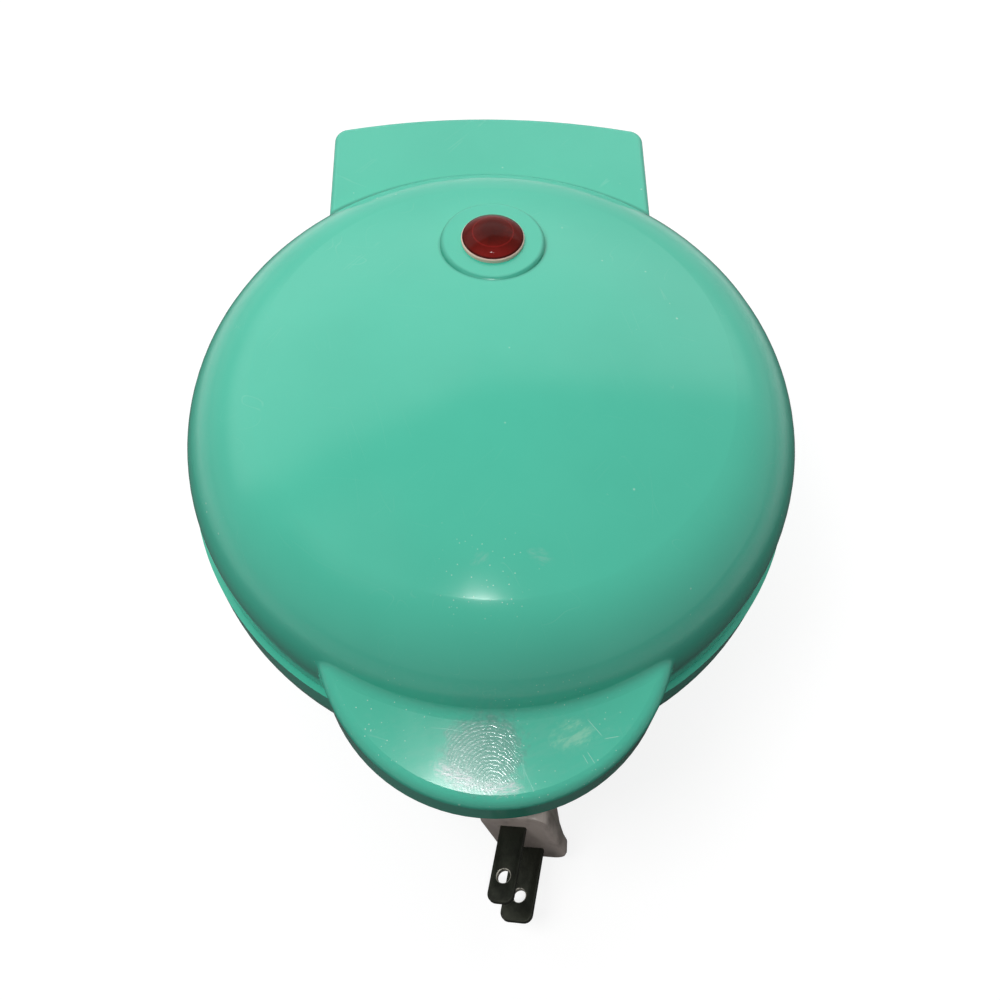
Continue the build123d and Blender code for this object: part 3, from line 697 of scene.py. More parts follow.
@dataclass(frozen=True)
class CreaseShade:
    """Painted shade in a round crease, in millimetres but for its centre, behind the Y where it starts.
    """

    centre: Point
    tilt: float
    radius: float
    width: float
    strength: float
    # Colour of the painted shade
    colour: Colour = (0.018, 0.190, 0.130)
    starts: float = -1000.0

    def mask(self, graph: Graph) -> Value:
        """Build the crease's pattern.

        Args:
            graph: Material to build in.

        Returns:
            Its strength in the crease and 0 off it.
        """
        where = graph.place(self.centre, (math.radians(self.tilt), 0, 0), (MM, MM, 50 * MM))
        off = abs(graph.length(where) - self.radius)
        line = graph.fade(off, 0.15 * self.width, self.width) * self.strength
        near = graph.fade(abs(graph.axis(where, "Z")), 0.15, 0.2)
        return line * near * graph.between(graph.axis(where, "Y"), self.starts, self.starts + 4)


@dataclass(frozen=True)
class Nick:
    """Short straight scratch."""

    centre: Point
    turn: float
    length: float
    width: float = 0.12 * MM

    def mask(self, graph: Graph) -> Value:
        """Build the scratch's pattern.

        Args:
            graph: Material to build in.

        Returns:
            1 on the scratch and 0 off it.
        """
        where = graph.place(self.centre, (0, 0, self.turn), (self.length / 2, self.width / 2, 1.0))
        across = abs(graph.axis(where, "Y"))
        along = abs(graph.axis(where, "X"))
        return graph.fade(across, 0.6, 1.0) * graph.fade(along, 0.6, 1.0)


@dataclass(frozen=True)
class MouldedPlastic:
    """Injection-moulded plastic with flow marks, dust, fine scratches, greasy streaks with painted sheen
    and painted shade in crease lines.
    """

    colour: Colour
    shade: Colour
    roughness: float
    dust_tint: Colour = (0.72, 0.82, 0.78)
    scratch_tint: Colour = (0.55, 0.76, 0.70)
    flow_size: float = 45 * MM
    grain: float = 0.0
    grain_size: float = 0.4 * MM
    scratches: float = 0.15
    dust: float = 0.3
    dust_gap: float = 5.5 * MM
    spot_gap: float = 1.2 * MM
    smears: float = 0.08
    smear_size: float = 26 * MM
    dusty_spots: tuple[tuple[Point, float], ...] = ()
    prints: tuple[Fingerprint, ...] = ()
    nicks: tuple[Nick, ...] = ()
    grease_and_sheen_streaks: tuple[GreaseAndSheen, ...] = ()
    crease_shades: tuple[CreaseShade, ...] = ()

    def build(self, name: str) -> bpy.types.Material:
        """Make the material.

        Args:
            name: Name of the material.

        Returns:
            The material.
        """
        graph = Graph(name)
        where = graph.place()
        flow = graph.noise(where, self.flow_size, 4.0)
        colour = graph.blend(graph.between(flow, 0.35, 0.7), self.colour, self.shade)
        dust = self.specks(graph, where, self.dust_gap, 0.52) * self.dust
        for spot, reach in self.dusty_spots:
            spread = graph.fade(graph.length(graph.place(spot)), 0.35 * reach, reach)
            dust = dust + self.specks(graph, where, self.spot_gap, 0.42, 0.06) * spread * 0.5
        colour = graph.blend(dust, colour, self.dust_tint)
        scratches = self.scratch_lines(graph) * self.scratches
        for nick in self.nicks:
            scratches = scratches + nick.mask(graph)
        colour = graph.blend(scratches * 0.45, colour, self.scratch_tint)
        wiped = graph.noise(graph.place(scale=(1, 2.5, 1)), self.smear_size, 5.0)
        smears = graph.between(wiped, 0.45, 0.75)
        roughness = smears * self.smears + scratches * 0.15 + dust * 0.3 + self.roughness
        height = graph.noise(where, self.grain_size, 2.0) * self.grain - scratches * 0.2 + dust * 0.4
        for spot in self.prints:
            ridges, area = spot.mask(graph)
            roughness = roughness + ridges * 0.02 + area * 0.01
            colour = graph.blend(area * 0.38, colour, spot.tint)
            colour = graph.blend(ridges * 0.24, colour, spot.ridge_tint)
            height = height + ridges * 0.08
        # Greasy streaks whose pale colour is painted sheen
        for wipe in self.grease_and_sheen_streaks:
            grease_and_sheen = wipe.mask(graph)
            roughness = roughness + grease_and_sheen * 0.03
            colour = graph.blend(grease_and_sheen, colour, wipe.colour)
        # Painted shade darkens the crease lines and makes them rougher
        for crease in self.crease_shades:
            crease_shade = crease.mask(graph)
            roughness = roughness + crease_shade * 0.3
            colour = graph.blend(crease_shade, colour, crease.colour)
        return graph.finish({
            "Base Color": colour,
            "Roughness": roughness,
            "IOR": 1.5,
            "Specular IOR Level": 0.3,
            "Normal": graph.bump(height, 0.05 * MM),
        })

    @staticmethod
    def specks(graph: Graph, where: Value, size: float, rarity: float, grain: float = 0.03) -> Value:
        """Scattered grains of dust.

        Args:
            graph: Material to build in.
            where: Coordinates.
            size: Mean distance between them.
            rarity: Higher values leave more of them out.
            grain: Size of a grain, as a share of their distance.

        Returns:
            1 on a grain and 0 off it.
        """
        grains = graph.fade(graph.cells(where, size), grain, 2.2 * grain)
        return grains * graph.between(graph.noise(where, 1.6 * size, 1.0), rarity, rarity + 0.04)

    @staticmethod
    def scratch_lines(graph: Graph) -> Value:
        """Hairline scratches that run several ways.

        Args:
            graph: Material to build in.

        Returns:
            1 on a line and 0 off it.
        """
        total: Feed = 0.0
        for turn in (0.3, 1.25, 2.4):
            where = graph.place(turn=(0, 0, turn), scale=(1, 60, 1))
            line = graph.noise(where, 6 * MM, 0.0)
            edge = graph.fade(abs(line - 0.5), 0.0, 0.003)
            patch = graph.between(graph.noise(graph.place(turn=(turn, 0, 0)), 13 * MM, 1.0), 0.58, 0.62)
            total = edge * patch + total
        return total


@dataclass(frozen=True)
class SheetMetal:
    """Bare or plated metal with brushing and stains."""

    colour: Colour
    stain: Colour
    roughness: float
    brush: Point = (1, 1, 1)
    brush_size: float = 0.35 * MM
    stain_share: float = 0.4
    stain_size: float = 12 * MM
    metal: float = 1.0

    def build(self, name: str) -> bpy.types.Material:
        """Make the material.

        Args:
            name: Name of the material.

        Returns:
            The material.
        """
        graph = Graph(name)
        stains = graph.between(graph.noise(graph.place(), self.stain_size, 5.0, 0.6), 0.42, 0.7)
        lines = graph.noise(graph.place(scale=self.brush), self.brush_size, 3.0)
        colour = graph.blend(stains * self.stain_share, self.colour, self.stain)
        return graph.finish({
            "Base Color": colour,
            "Metallic": self.metal - stains * 0.15,
            "Roughness": lines * 0.16 + stains * 0.15 + self.roughness,
            "Normal": graph.bump(lines, 0.02 * MM),
        })


@dataclass(frozen=True)
class BladeMetal:
    """Plug blade painted near-black as shade, with darker tarnished patches and lighter patches round
    the rim of its hole.
    """

    # Near-black is painted shade on the metal
    colour: Colour = (0.021, 0.023, 0.016)
    bright: Colour = (0.42, 0.40, 0.35)
    roughness: float = 0.36
    tarnish_size: float = 4 * MM
    brush_size: float = 0.4 * MM
    rim_patch_size: float = 1.5 * MM
    holes: tuple[Point, ...] = ()
    hole_radius: float = BLADE_HOLE_RADIUS
    rim: float = 0.45 * MM

    def build(self, name: str) -> bpy.types.Material:
        """Make the material.

        Args:
            name: Name of the material.

        Returns:
            The material.
        """
        graph = Graph(name)
        where = graph.place()
        tarnish = graph.between(graph.noise(where, self.tarnish_size, 5.0, 0.6), 0.4, 0.7)
        slanted = graph.place(turn=(0.2, 0.1, 0.2), scale=(1, 6, 1))
        fine = graph.noise(slanted, self.brush_size, 3.0)
        colour = graph.blend(tarnish, self.colour, tuple(part * 0.45 for part in self.colour))
        # Lighter in patches round the rim of each hole
        bright_hole_rims: Feed = 0.0
        bright_to, dull_from = self.hole_radius + self.rim / 2, self.hole_radius + self.rim
        for hole in self.holes:
            bright_hole_rims = graph.fade(graph.length(graph.place(hole)), bright_to, dull_from) + bright_hole_rims
        bright_hole_rims = bright_hole_rims * graph.between(graph.noise(where, self.rim_patch_size, 2.0), 0.3, 0.55)
        return graph.finish({
            "Base Color": graph.blend(bright_hole_rims, colour, self.bright),
            "Metallic": 0.75,
            "Roughness": fine * 0.14 + tarnish * 0.14 + self.roughness,
            "Normal": graph.bump(fine + bright_hole_rims * 0.5, 0.03 * MM),
        })


@dataclass(frozen=True)
class NonStickCoating:
    """Dark speckled coating on cast metal."""

    colour: Colour = (0.018, 0.018, 0.019)
    fleck: Colour = (0.10, 0.10, 0.105)
    burnt: Colour = (0.05, 0.035, 0.022)
    roughness: float = 0.34
    fleck_gap: float = 1.1 * MM
    peel_size: float = 0.9 * MM
    burn_size: float = 14 * MM

    def build(self, name: str) -> bpy.types.Material:
        """Make the material.

        Args:
            name: Name of the material.

        Returns:
            The material.
        """
        graph = Graph(name)
        where = graph.place()
        flecks = graph.fade(graph.cells(where, self.fleck_gap), 0.10, 0.2)
        orange_peel = graph.noise(where, self.peel_size, 3.0)
        baked = graph.between(graph.noise(where, self.burn_size, 5.0), 0.48, 0.72)
        colour = graph.blend(flecks * 0.5, self.colour, self.fleck)
        colour = graph.blend(baked * 0.35, colour, self.burnt)
        return graph.finish({
            "Base Color": colour,
            "Roughness": orange_peel * 0.12 + baked * 0.12 + self.roughness,
            "Specular IOR Level": 0.6,
            "Normal": graph.bump(orange_peel, 0.06 * MM),
        })


@dataclass(frozen=True)
class SoftCompound:
    """Rubber or flexible vinyl with a dull skin and handling marks."""

    colour: Colour
    soil: Colour
    roughness: float
    soil_share: float = 0.5
    soil_size: float = 7 * MM
    grain_size: float = 0.5 * MM
    scuff_size: float = 3 * MM

    def build(self, name: str) -> bpy.types.Material:
        """Make the material.

        Args:
            name: Name of the material.

        Returns:
            The material.
        """
        graph = Graph(name)
        where = graph.place()
        soil = graph.between(graph.noise(where, self.soil_size, 6.0, 0.62), 0.45, 0.72)
        grain = graph.noise(where, self.grain_size, 3.0)
        rubbed = graph.noise(graph.place(scale=(1, 6, 1)), self.scuff_size, 2.0)
        scuffs = graph.between(rubbed, 0.62, 0.68)
        colour = graph.blend(soil * self.soil_share, self.colour, self.soil)
        colour = graph.blend(scuffs * 0.18, colour, self.soil)
        return graph.finish({
            "Base Color": colour,
            "Roughness": grain * 0.1 + scuffs * 0.12 + self.roughness,
            "IOR": 1.52,
            "Normal": graph.bump(grain + scuffs * 0.4, 0.05 * MM),
        })


@dataclass(frozen=True)
class WovenSleeve:
    """Braided glass-fibre sleeve over a wire."""

    colour: Colour = (0.62, 0.60, 0.53)
    gap: Colour = (0.26, 0.24, 0.20)
    soil: Colour = (0.32, 0.25, 0.17)
    soil_size: float = 6 * MM
    strand: float = 0.7 * MM

    def build(self, name: str) -> bpy.types.Material:
        """Make the material.

        Args:
            name: Name of the material.

        Returns:
            The material.
        """
        graph = Graph(name)
        over = self.strands(graph, 0.8)
        under = self.strands(graph, -0.8)
        weave = graph.maths("MAXIMUM", over, under)
        soil = graph.between(graph.noise(graph.place(), self.soil_size, 4.0), 0.45, 0.7)
        colour = graph.blend(weave, self.gap, self.colour)
        return graph.finish({
            "Base Color": graph.blend(soil * 0.35, colour, self.soil),
            "Roughness": weave * -0.15 + 0.85,
            "Normal": graph.bump(weave, 0.15 * MM),
        })

    def strands(self, graph: Graph, turn: float) -> Value:
        """Parallel strands that cross the wire at a slant.

        Args:
            graph: Material to build in.
            turn: Slant of the strands, in radians.

        Returns:
            1 on a strand's crown and 0 between two.
        """
        where = graph.place(turn=(turn, turn, turn))
        return graph.wave(graph.axis(where, "X") * (2 * math.pi / self.strand))


@dataclass(frozen=True)
class LensMoulding:
    """Clear red moulding with a ring, painted shade in its middle and inside its edge, painted light at
    its front and a painted highlight on its rim.
    """

    colour: Colour = (0.118, 0.006, 0.003)
    # Colours of the painted shade, of the painted light at the front, which also tints the ring, and of
    # the painted highlight on the rim
    painted_shade: Colour = (0.045, 0.004, 0.002)
    glow: Colour = (0.40, 0.018, 0.016)
    pale: Colour = (0.85, 0.62, 0.52)
    roughness: float = 0.03
    centre: Point = (0.0, 33.0 * MM, 86.0 * MM)
    tilt: float = -4.0
    radius: float = 7.4 * MM
    ring_share: float = 0.64

    def build(self, name: str) -> bpy.types.Material:
        """Make the material.

        Args:
            name: Name of the material.

        Returns:
            The material.
        """
        graph = Graph(name)
        tilt = (math.radians(self.tilt), 0, 0)
        where = graph.place(self.centre, tilt, (self.radius, self.radius, 1.0))
        reach = graph.length(where)
        clouds = graph.noise(where, 0.35, 4.0, 0.6)
        # Painted shade makes the middle darker, in random patches too
        painted_shade = graph.fade(reach + (clouds - 0.5) * 0.5, 0.25, 0.62)
        colour = graph.blend(painted_shade * 0.7, self.colour, self.painted_shade)
        colour = graph.blend(graph.between(clouds, 0.5, 0.75) * 0.6, colour, self.painted_shade)
        # Painted light makes the front side a lighter red
        front = graph.between(-graph.axis(where, "Y") + clouds * 0.3, 0.55, 1.1)
        colour = graph.blend(front * 0.45, colour, self.glow)
        ring = graph.fade(abs(reach - self.ring_share), 0.008, 0.03)
        colour = graph.blend(ring * 0.3, colour, self.glow)
        # Painted shade makes a thin ring inside the edge darker
        colour = graph.blend(graph.between(reach, 0.90, 0.945) * 0.9, colour, self.painted_shade)
        # Painted highlight makes the rim pale
        rim = graph.between(reach, 0.962, 0.975)
        return graph.finish({
            "Base Color": graph.blend(rim, colour, self.pale),
            "Roughness": clouds * 0.03 + self.roughness,
            "Transmission Weight": 0.06,
            "IOR": 1.49,
            "Specular IOR Level": 0.04,
            "Normal": graph.bump(graph.noise(where, 0.12, 3.0) + ring * 0.5, 0.02 * MM),
        })


@dataclass(frozen=True)
class ClearMoulding:
    """Clear moulding that light passes through."""

    colour: Colour
    roughness: float = 0.04
    clearness: float = 1.0
    streak_size: float = 2.5 * MM

    def build(self, name: str) -> bpy.types.Material:
        """Make the material.

        Args:
            name: Name of the material.

        Returns:
            The material.
        """
        graph = Graph(name)
        where = graph.place()
        streaks = graph.noise(where, self.streak_size, 3.0)
        deep = tuple(part * 0.6 for part in self.colour)
        return graph.finish({
            "Base Color": graph.blend(graph.between(streaks, 0.35, 0.65), self.colour, deep),
            "Roughness": streaks * 0.06 + self.roughness,
            "Transmission Weight": self.clearness,
            "IOR": 1.49,
            "Normal": graph.bump(streaks, 0.03 * MM),
        })


class Finish(Enum):
    """Every finish on the object, by the record's slot name."""

    lid_plastic = MouldedPlastic(
        colour=(0.070, 0.515, 0.362),
        shade=(0.062, 0.485, 0.340),
        roughness=0.10,
        dusty_spots=(
            ((12 * MM, -80 * MM, 58 * MM), 24 * MM),
            ((-26 * MM, -72 * MM, 59 * MM), 16 * MM),
            ((-2 * MM, -50 * MM, 80 * MM), 14 * MM),
        ),
        prints=(
            Fingerprint((-3.0 * MM, -80.5 * MM, 58 * MM), 10.5, 9.0, 0.35),
        ),
        # Greasy streaks on the tab and dome, their paleness painted sheen
        grease_and_sheen_streaks=(
            GreaseAndSheen((-8.5 * MM, -85.0 * MM, 58 * MM), 7.0, 2.4, -0.45, 0.95),
            GreaseAndSheen((0.5 * MM, -87.3 * MM, 58 * MM), 6.0, 2.2, -0.05, 0.85),
            GreaseAndSheen((-4.0 * MM, -79.0 * MM, 58 * MM), 9.5, 6.5, 0.5, 0.12),
            GreaseAndSheen((15.8 * MM, -77.0 * MM, 59 * MM), 6.0, 3.8, 0.2, 0.6, 2.2, (0.30, 0.64, 0.46)),
            GreaseAndSheen((0.0, -78.0 * MM, 58 * MM), 36.0, 11.0, 0.0, 0.05, 2.0),
            GreaseAndSheen((-3.4 * MM, -46.4 * MM, 81 * MM), 2.6, 1.6, 0.4, 0.14, 0.9),
            GreaseAndSheen((8.8 * MM, -45.9 * MM, 81 * MM), 3.4, 2.0, -0.5, 0.16, 0.9),
        ),
        # Painted shade along the seam between hood and dome and round the lens boss
        crease_shades=(
            CreaseShade((0, 0, 67.5 * MM), 0.0, 70.45, 1.4, 0.9, starts=52.0),
            CreaseShade((0, 33.0 * MM, 84.8 * MM), -10.2, 12.1, 1.0, 0.4),
        ),
        nicks=(
            Nick((20.5 * MM, -75.5 * MM, 60 * MM), -0.85, 5.0 * MM),
            Nick((24.0 * MM, -77.5 * MM, 60 * MM), 0.15, 3.5 * MM),
            Nick((19.5 * MM, -81.5 * MM, 59 * MM), -1.0, 3.2 * MM),
            Nick((18.3 * MM, -81.8 * MM, 59 * MM), -1.05, 2.4 * MM),
        ),
    )
    base_plastic = MouldedPlastic(
        colour=(0.070, 0.515, 0.362), shade=(0.062, 0.485, 0.340), roughness=0.14
    )
    cover_plastic = MouldedPlastic(
        colour=(0.066, 0.475, 0.335), shade=(0.058, 0.445, 0.312), roughness=0.42, grain=1.0
    )
    plate_coating = NonStickCoating()
    element_sheath = SheetMetal((0.30, 0.28, 0.27), (0.10, 0.07, 0.06), 0.42, (1, 1, 6))
    shield_sheet = SheetMetal((0.66, 0.66, 0.66), (0.45, 0.44, 0.42), 0.28, (8, 1, 1))
    screw_steel = SheetMetal((0.58, 0.58, 0.56), (0.30, 0.27, 0.23), 0.30)
    pin_steel = SheetMetal((0.62, 0.62, 0.62), (0.38, 0.36, 0.34), 0.22, (1, 8, 8))
    thermostat_body = SoftCompound((0.055, 0.032, 0.024), (0.12, 0.10, 0.09), 0.42)
    fuse_case = SheetMetal((0.60, 0.57, 0.50), (0.36, 0.32, 0.26), 0.30, (8, 1, 1))
    terminal_plastic = SoftCompound((0.70, 0.69, 0.64), (0.50, 0.46, 0.38), 0.48, 0.3)
    wire_sleeve = WovenSleeve()
    cord_vinyl = SoftCompound((0.36, 0.34, 0.32), (0.20, 0.185, 0.17), 0.40, 0.35)
    # The plug is white plastic; its darker beige-grey colour is painted shade
    plug_vinyl = SoftCompound((0.50, 0.43, 0.39), (0.18, 0.15, 0.13), 0.30, 0.7)
    blade_metal = BladeMetal(holes=BLADE_HOLES)
    red_lens = LensMoulding()
    lamp_glass = ClearMoulding((0.88, 0.84, 0.80), 0.03)
    holder_rubber = SoftCompound((0.62, 0.60, 0.56), (0.44, 0.40, 0.36), 0.6, 0.3)
    foot_rubber = SoftCompound((0.30, 0.30, 0.30), (0.15, 0.14, 0.13), 0.62)


class Paintbox:
    """Makes each finish once and hands it to the pieces."""

    def __init__(self) -> None:
        """Start with no material made."""
        self.made: dict[Finish, bpy.types.Material] = {}

    def material(self, finish: Finish) -> bpy.types.Material:
        """Get a finish's material, making it at its first use.

        Args:
            finish: The finish.

        Returns:
            Its material.
        """
        if finish not in self.made:
            self.made[finish] = finish.value.build(finish.name)
        return self.made[finish]

    def dress(self, piece: bpy.types.Object, finish: Finish) -> None:
        """Give a piece one finish all over.

        Args:
            piece: A CAD node or a piece of this script.
            finish: The finish.
        """
        piece.data.materials.clear()
        piece.data.materials.append(self.material(finish))

    def finish_piece(
        self, piece: bpy.types.Object, finish: Finish, body: str, *nodes: str
    ) -> bpy.types.Object:
        """Dress a new piece and put it in the place of CAD nodes.

        Args:
            piece: The piece.
            finish: Its finish.
            body: The body that it moves with.
            nodes: The CAD nodes that it stands for.

        Returns:
            The piece.
        """
        self.dress(piece, finish)
        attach(piece, body)
        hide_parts(*nodes)
        log.info("%s stands for %s", piece.name, ", ".join(nodes))
        return piece


# Screws and feet


@dataclass
class ScrewSet:
    """Cross-recessed screws on a circle, for one CAD node."""

    name: str
    node: str
    body: str
    face: float
    facing: int
    circle: float = 67.2 * MM
    count: int = 3
    start: float = 30.0
    domed: bool = False
    head_radius: float = 2.3 * MM
    shank_radius: float = 1.3 * MM
    head_height: float = 1.3 * MM
    length: float = 10.0 * MM
    edge: float = 0.1 * MM
    recess_length: float = 2.7 * MM
    recess_width: float = 0.62 * MM
    recess_depth: float = 0.75 * MM
    seed: int = 7

    def section(self) -> Profile:
        """Half section of one screw, its head's top at zero height."""
        if self.domed:
            dome = [
                (self.head_radius * math.sin(angle), self.head_height * (math.cos(angle) - 1))
                for angle in (math.radians(degrees) for degrees in range(0, 91, 15))
            ]
            head = [*dome, (self.shank_radius, -self.head_height)]
        else:
            head = [
                (0.0, 0.0),
                (self.head_radius - self.edge, 0.0),
                (self.head_radius, -self.edge),
                (self.shank_radius, self.shank_radius - self.head_radius - self.edge),
            ]
        return [*head, (self.shank_radius, -self.length), (0.0, -self.length)]

    def build(self, paint: Paintbox) -> bpy.types.Object:
        """Make the screws.

        Args:
            paint: The finishes.

        Returns:
            The piece.
        """
        layout = Layout(self.name, {
            "Circle": self.circle,
            "Count": self.count,
            "Start": math.radians(self.start),
            "Height": self.face,
            "Recess length": self.recess_length,
            "Recess width": self.recess_width,
            "Recess depth": self.recess_depth,
        })
        size = layout.size
        deep = size["Recess depth"] * 2
        arms = [
            layout.node("GeometryNodeMeshCube", {}, {"Size": layout.vector(*sides, deep)})
            for sides in (
                (size["Recess length"], size["Recess width"]),
                (size["Recess width"], size["Recess length"]),
            )
        ]
        screw = layout.cut("DIFFERENCE", layout.shape, arms)
        points = layout.circle(size["Count"], size["Height"])
        spin = layout.node(
            "FunctionNodeRandomValue", {"data_type": "FLOAT"}, {2: 0.0, 3: math.pi, "Seed": self.seed}, 1
        )
        flip = 0.0 if self.facing > 0 else math.pi
        screws = layout.repeated(points, screw, layout.vector(flip, 0.0, spin))
        piece = layout.bake(lathe(self.section(), 32), screws, paint.material(Finish.screw_steel))
        return paint.finish_piece(piece, Finish.screw_steel, self.body, self.node)


@dataclass
class Feet:
    """Four soft feet with a hollow in the middle of their tread."""

    nodes: tuple[str, ...] = ("foot_front_left", "foot_front_right", "foot_rear_left", "foot_rear_right")
    circle: float = 48.6 * MM
    start: float = 45.0
    radius: float = 5.5 * MM
    height: float = 4.0 * MM
    edge: float = 1.0 * MM
    hollow_radius: float = 3.0 * MM
    hollow_depth: float = 0.8 * MM
    stem_radius: float = 2.4 * MM
    stem_length: float = 5.0 * MM
    ease: float = 0.2 * MM
    lip: float = 0.3 * MM

    def build(self, paint: Paintbox) -> bpy.types.Object:
        """Make the feet.

        Args:
            paint: The finishes.

        Returns:
            The piece.
        """
        top = self.height + self.stem_length
        section = [
            (0.0, self.hollow_depth),
            (self.hollow_radius - 2 * self.ease, self.hollow_depth),
            (self.hollow_radius, self.hollow_depth / 4),
            (self.hollow_radius + self.lip, 0.0),
            *arc((self.radius - self.edge, self.edge), self.edge, -90, 0, 5),
            (self.radius, self.height - self.ease),
            (self.radius - self.ease, self.height),
            (self.stem_radius, self.height),
            (self.stem_radius, top),
            (0.0, top),
        ]
        layout = Layout("rubber_feet", {"Circle": self.circle, "Start": math.radians(self.start)})
        feet = layout.repeated(layout.circle(len(self.nodes)), layout.shape)
        piece = layout.bake(lathe(section, 40), feet, paint.material(Finish.foot_rubber))
        return paint.finish_piece(piece, Finish.foot_rubber, "base", *self.nodes)


# Cooking plates


@dataclass
class WafflePlates:
    """The two cooking plates: round pans with a grid of tapered posts."""

    parting_height: float = 45.0 * MM
    face: float = 44.85 * MM
    flange_radius: float = 69.5 * MM
    pan_radius: float = 60.0 * MM
    floor_radius: float = 58.0 * MM
    floor: float = 35.0 * MM
    wall: float = 2.3 * MM
    rounding: float = 1.0 * MM
    pitch: float = 11.6 * MM
    across: int = 10
    post_width: float = 7.8 * MM
    post_height: float = 6.0 * MM
    post_taper: float = 10.0
    post_rounding: float = 0.8 * MM
    post_sink: float = 0.5 * MM
    edge_gap: float = 2.6 * MM
    rib_radius: float = 42.0 * MM
    rib_width: float = 10.4 * MM
    rib_height: float = 3.1 * MM
    groove: float = 29.4 * MM
    groove_radius: float = 3.25 * MM
    rib_opening: float = 60.0
    boss_radius: float = 9.0 * MM
    boss_height: float = 2.5 * MM
    edge: float = 0.3 * MM
    overlap: float = 0.2 * MM

    def post(self) -> bmesh.types.BMesh:
        """One tapered post with round edges, standing on the pan's floor."""
        shape = bmesh.new()
        foot_half = self.post_width / 2
        top_half = foot_half - self.post_height * math.tan(math.radians(self.post_taper))
        ends = ((foot_half, self.floor - self.post_sink), (top_half, self.floor + self.post_height))
        low, high = (
            [
                shape.verts.new((half * side_x, half * side_y, height))
                for side_x, side_y in ((-1, -1), (1, -1), (1, 1), (-1, 1))
            ]
            for half, height in ends
        )
        shape.faces.new(low[::-1])
        shape.faces.new(high)
        for index in range(4):
            after = (index + 1) % 4
            shape.faces.new((low[index], low[after], high[after], high[index]))
        raised = [edge for edge in shape.edges if max(vert.co.z for vert in edge.verts) > self.floor]
        bmesh.ops.bevel(
            shape, geom=raised, offset=self.post_rounding, segments=3, profile=0.5, affect="EDGES"
        )
        return shape

    def posts(self, material: bpy.types.Material) -> bpy.types.Object:
        """Lay the posts on a square grid and trim those at its round edge.

        Args:
            material: Material of the posts.

        Returns:
            All the posts.
        """
        layout = Layout("waffle_posts", {
            "Pitch": self.pitch,
            "Across": self.across,
            "Reach": self.floor_radius - self.edge_gap,
            "Depth": 2 * self.parting_height,
        })
        size = layout.size
        side = size["Pitch"] * (size["Across"] - 1)
        grid = layout.node(
            "GeometryNodeMeshGrid",
            {},
            {"Size X": side, "Size Y": side, "Vertices X": size["Across"], "Vertices Y": size["Across"]},
        )
        away = layout.length(layout.node("GeometryNodeInputPosition", {}, {}))
        farther = {"data_type": "FLOAT", "operation": "GREATER_THAN"}
        outside = layout.node("FunctionNodeCompare", farther, {0: away, 1: size["Reach"]})
        inside = layout.node(
            "GeometryNodeDeleteGeometry", {"domain": "POINT"}, {"Geometry": grid, "Selection": outside}
        )
        posts = layout.node(
            "GeometryNodeRealizeInstances", {}, {"Geometry": layout.repeated(inside, layout.shape)}
        )
        sizes = {"Vertices": 128, "Radius": size["Reach"], "Depth": size["Depth"]}
        trim = layout.node("GeometryNodeMeshCylinder", {}, sizes)
        return layout.bake(self.post(), layout.cut("INTERSECT", posts, [trim]), material)

    def pan(self) -> bpy.types.Object:
        """Make the pan with its raised lip."""
        under = self.floor - self.wall
        flange_under = self.face - self.wall
        corner = (self.pan_radius + self.rounding * 0.85, self.face - self.rounding)
        section = [
            (0.0, self.floor),
            (self.floor_radius - self.rounding, self.floor),
            (self.floor_radius - 0.25 * self.rounding, self.floor + 0.3 * self.rounding),
            (self.floor_radius + 0.2 * self.rounding, self.floor + self.rounding),
            *arc(corner, self.rounding, 169, 90, 5),
            (self.flange_radius - self.edge, self.face),
            (self.flange_radius, self.face - self.edge),
            (self.flange_radius, flange_under),
            (self.pan_radius + self.wall, flange_under),
            (self.floor_radius + self.wall, under),
            (0.0, under),
        ]
        return settle("pan", lathe(section, 128))

    def rib(self) -> bpy.types.Object:
        """Make the rib that grips the heating element, open at the back."""
        under = self.floor - self.wall
        low = under - self.rib_height
        inner, outer = self.rib_radius - self.rib_width / 2, self.rib_radius + self.rib_width / 2
        first = math.degrees(math.asin((low - self.groove) / self.groove_radius))
        section = [
            (outer, under + self.overlap),
            (outer, low),
            *arc((self.rib_radius, self.groove), self.groove_radius, first, 180 - first, 12),
            (inner, low),
            (inner, under + self.overlap),
        ]
        start = 90 + self.rib_opening / 2
        return settle("rib", lathe(section, 96, start, start + 360 - self.rib_opening))

    def boss(self) -> bpy.types.Object:
        """Make the boss that the thermostat sits on."""
        under = self.floor - self.wall
        high, low = under + self.overlap, under - self.boss_height
        section = [(0.0, high), (self.boss_radius, high), (self.boss_radius, low), (0.0, low)]
        return settle("boss", lathe(section, 40))

    def build(self, paint: Paintbox) -> None:
        """Make the lower plate, and the upper one as its mirror image.

        Args:
            paint: The finishes.
        """
        posts = self.posts(paint.material(Finish.plate_coating))
        lower = merge("waffle_plate_lower", [self.pan(), self.rib(), self.boss(), posts])
        mirror = Matrix.Translation((0, 0, 2 * self.parting_height)) @ Matrix.Scale(-1, 4, (0, 0, 1))
        upper = merge("waffle_plate_upper", [lower.copy()], mirror)
        paint.finish_piece(lower, Finish.plate_coating, "base", "lower_plate")
        paint.finish_piece(upper, Finish.plate_coating, "lid", "upper_plate")


# Plug


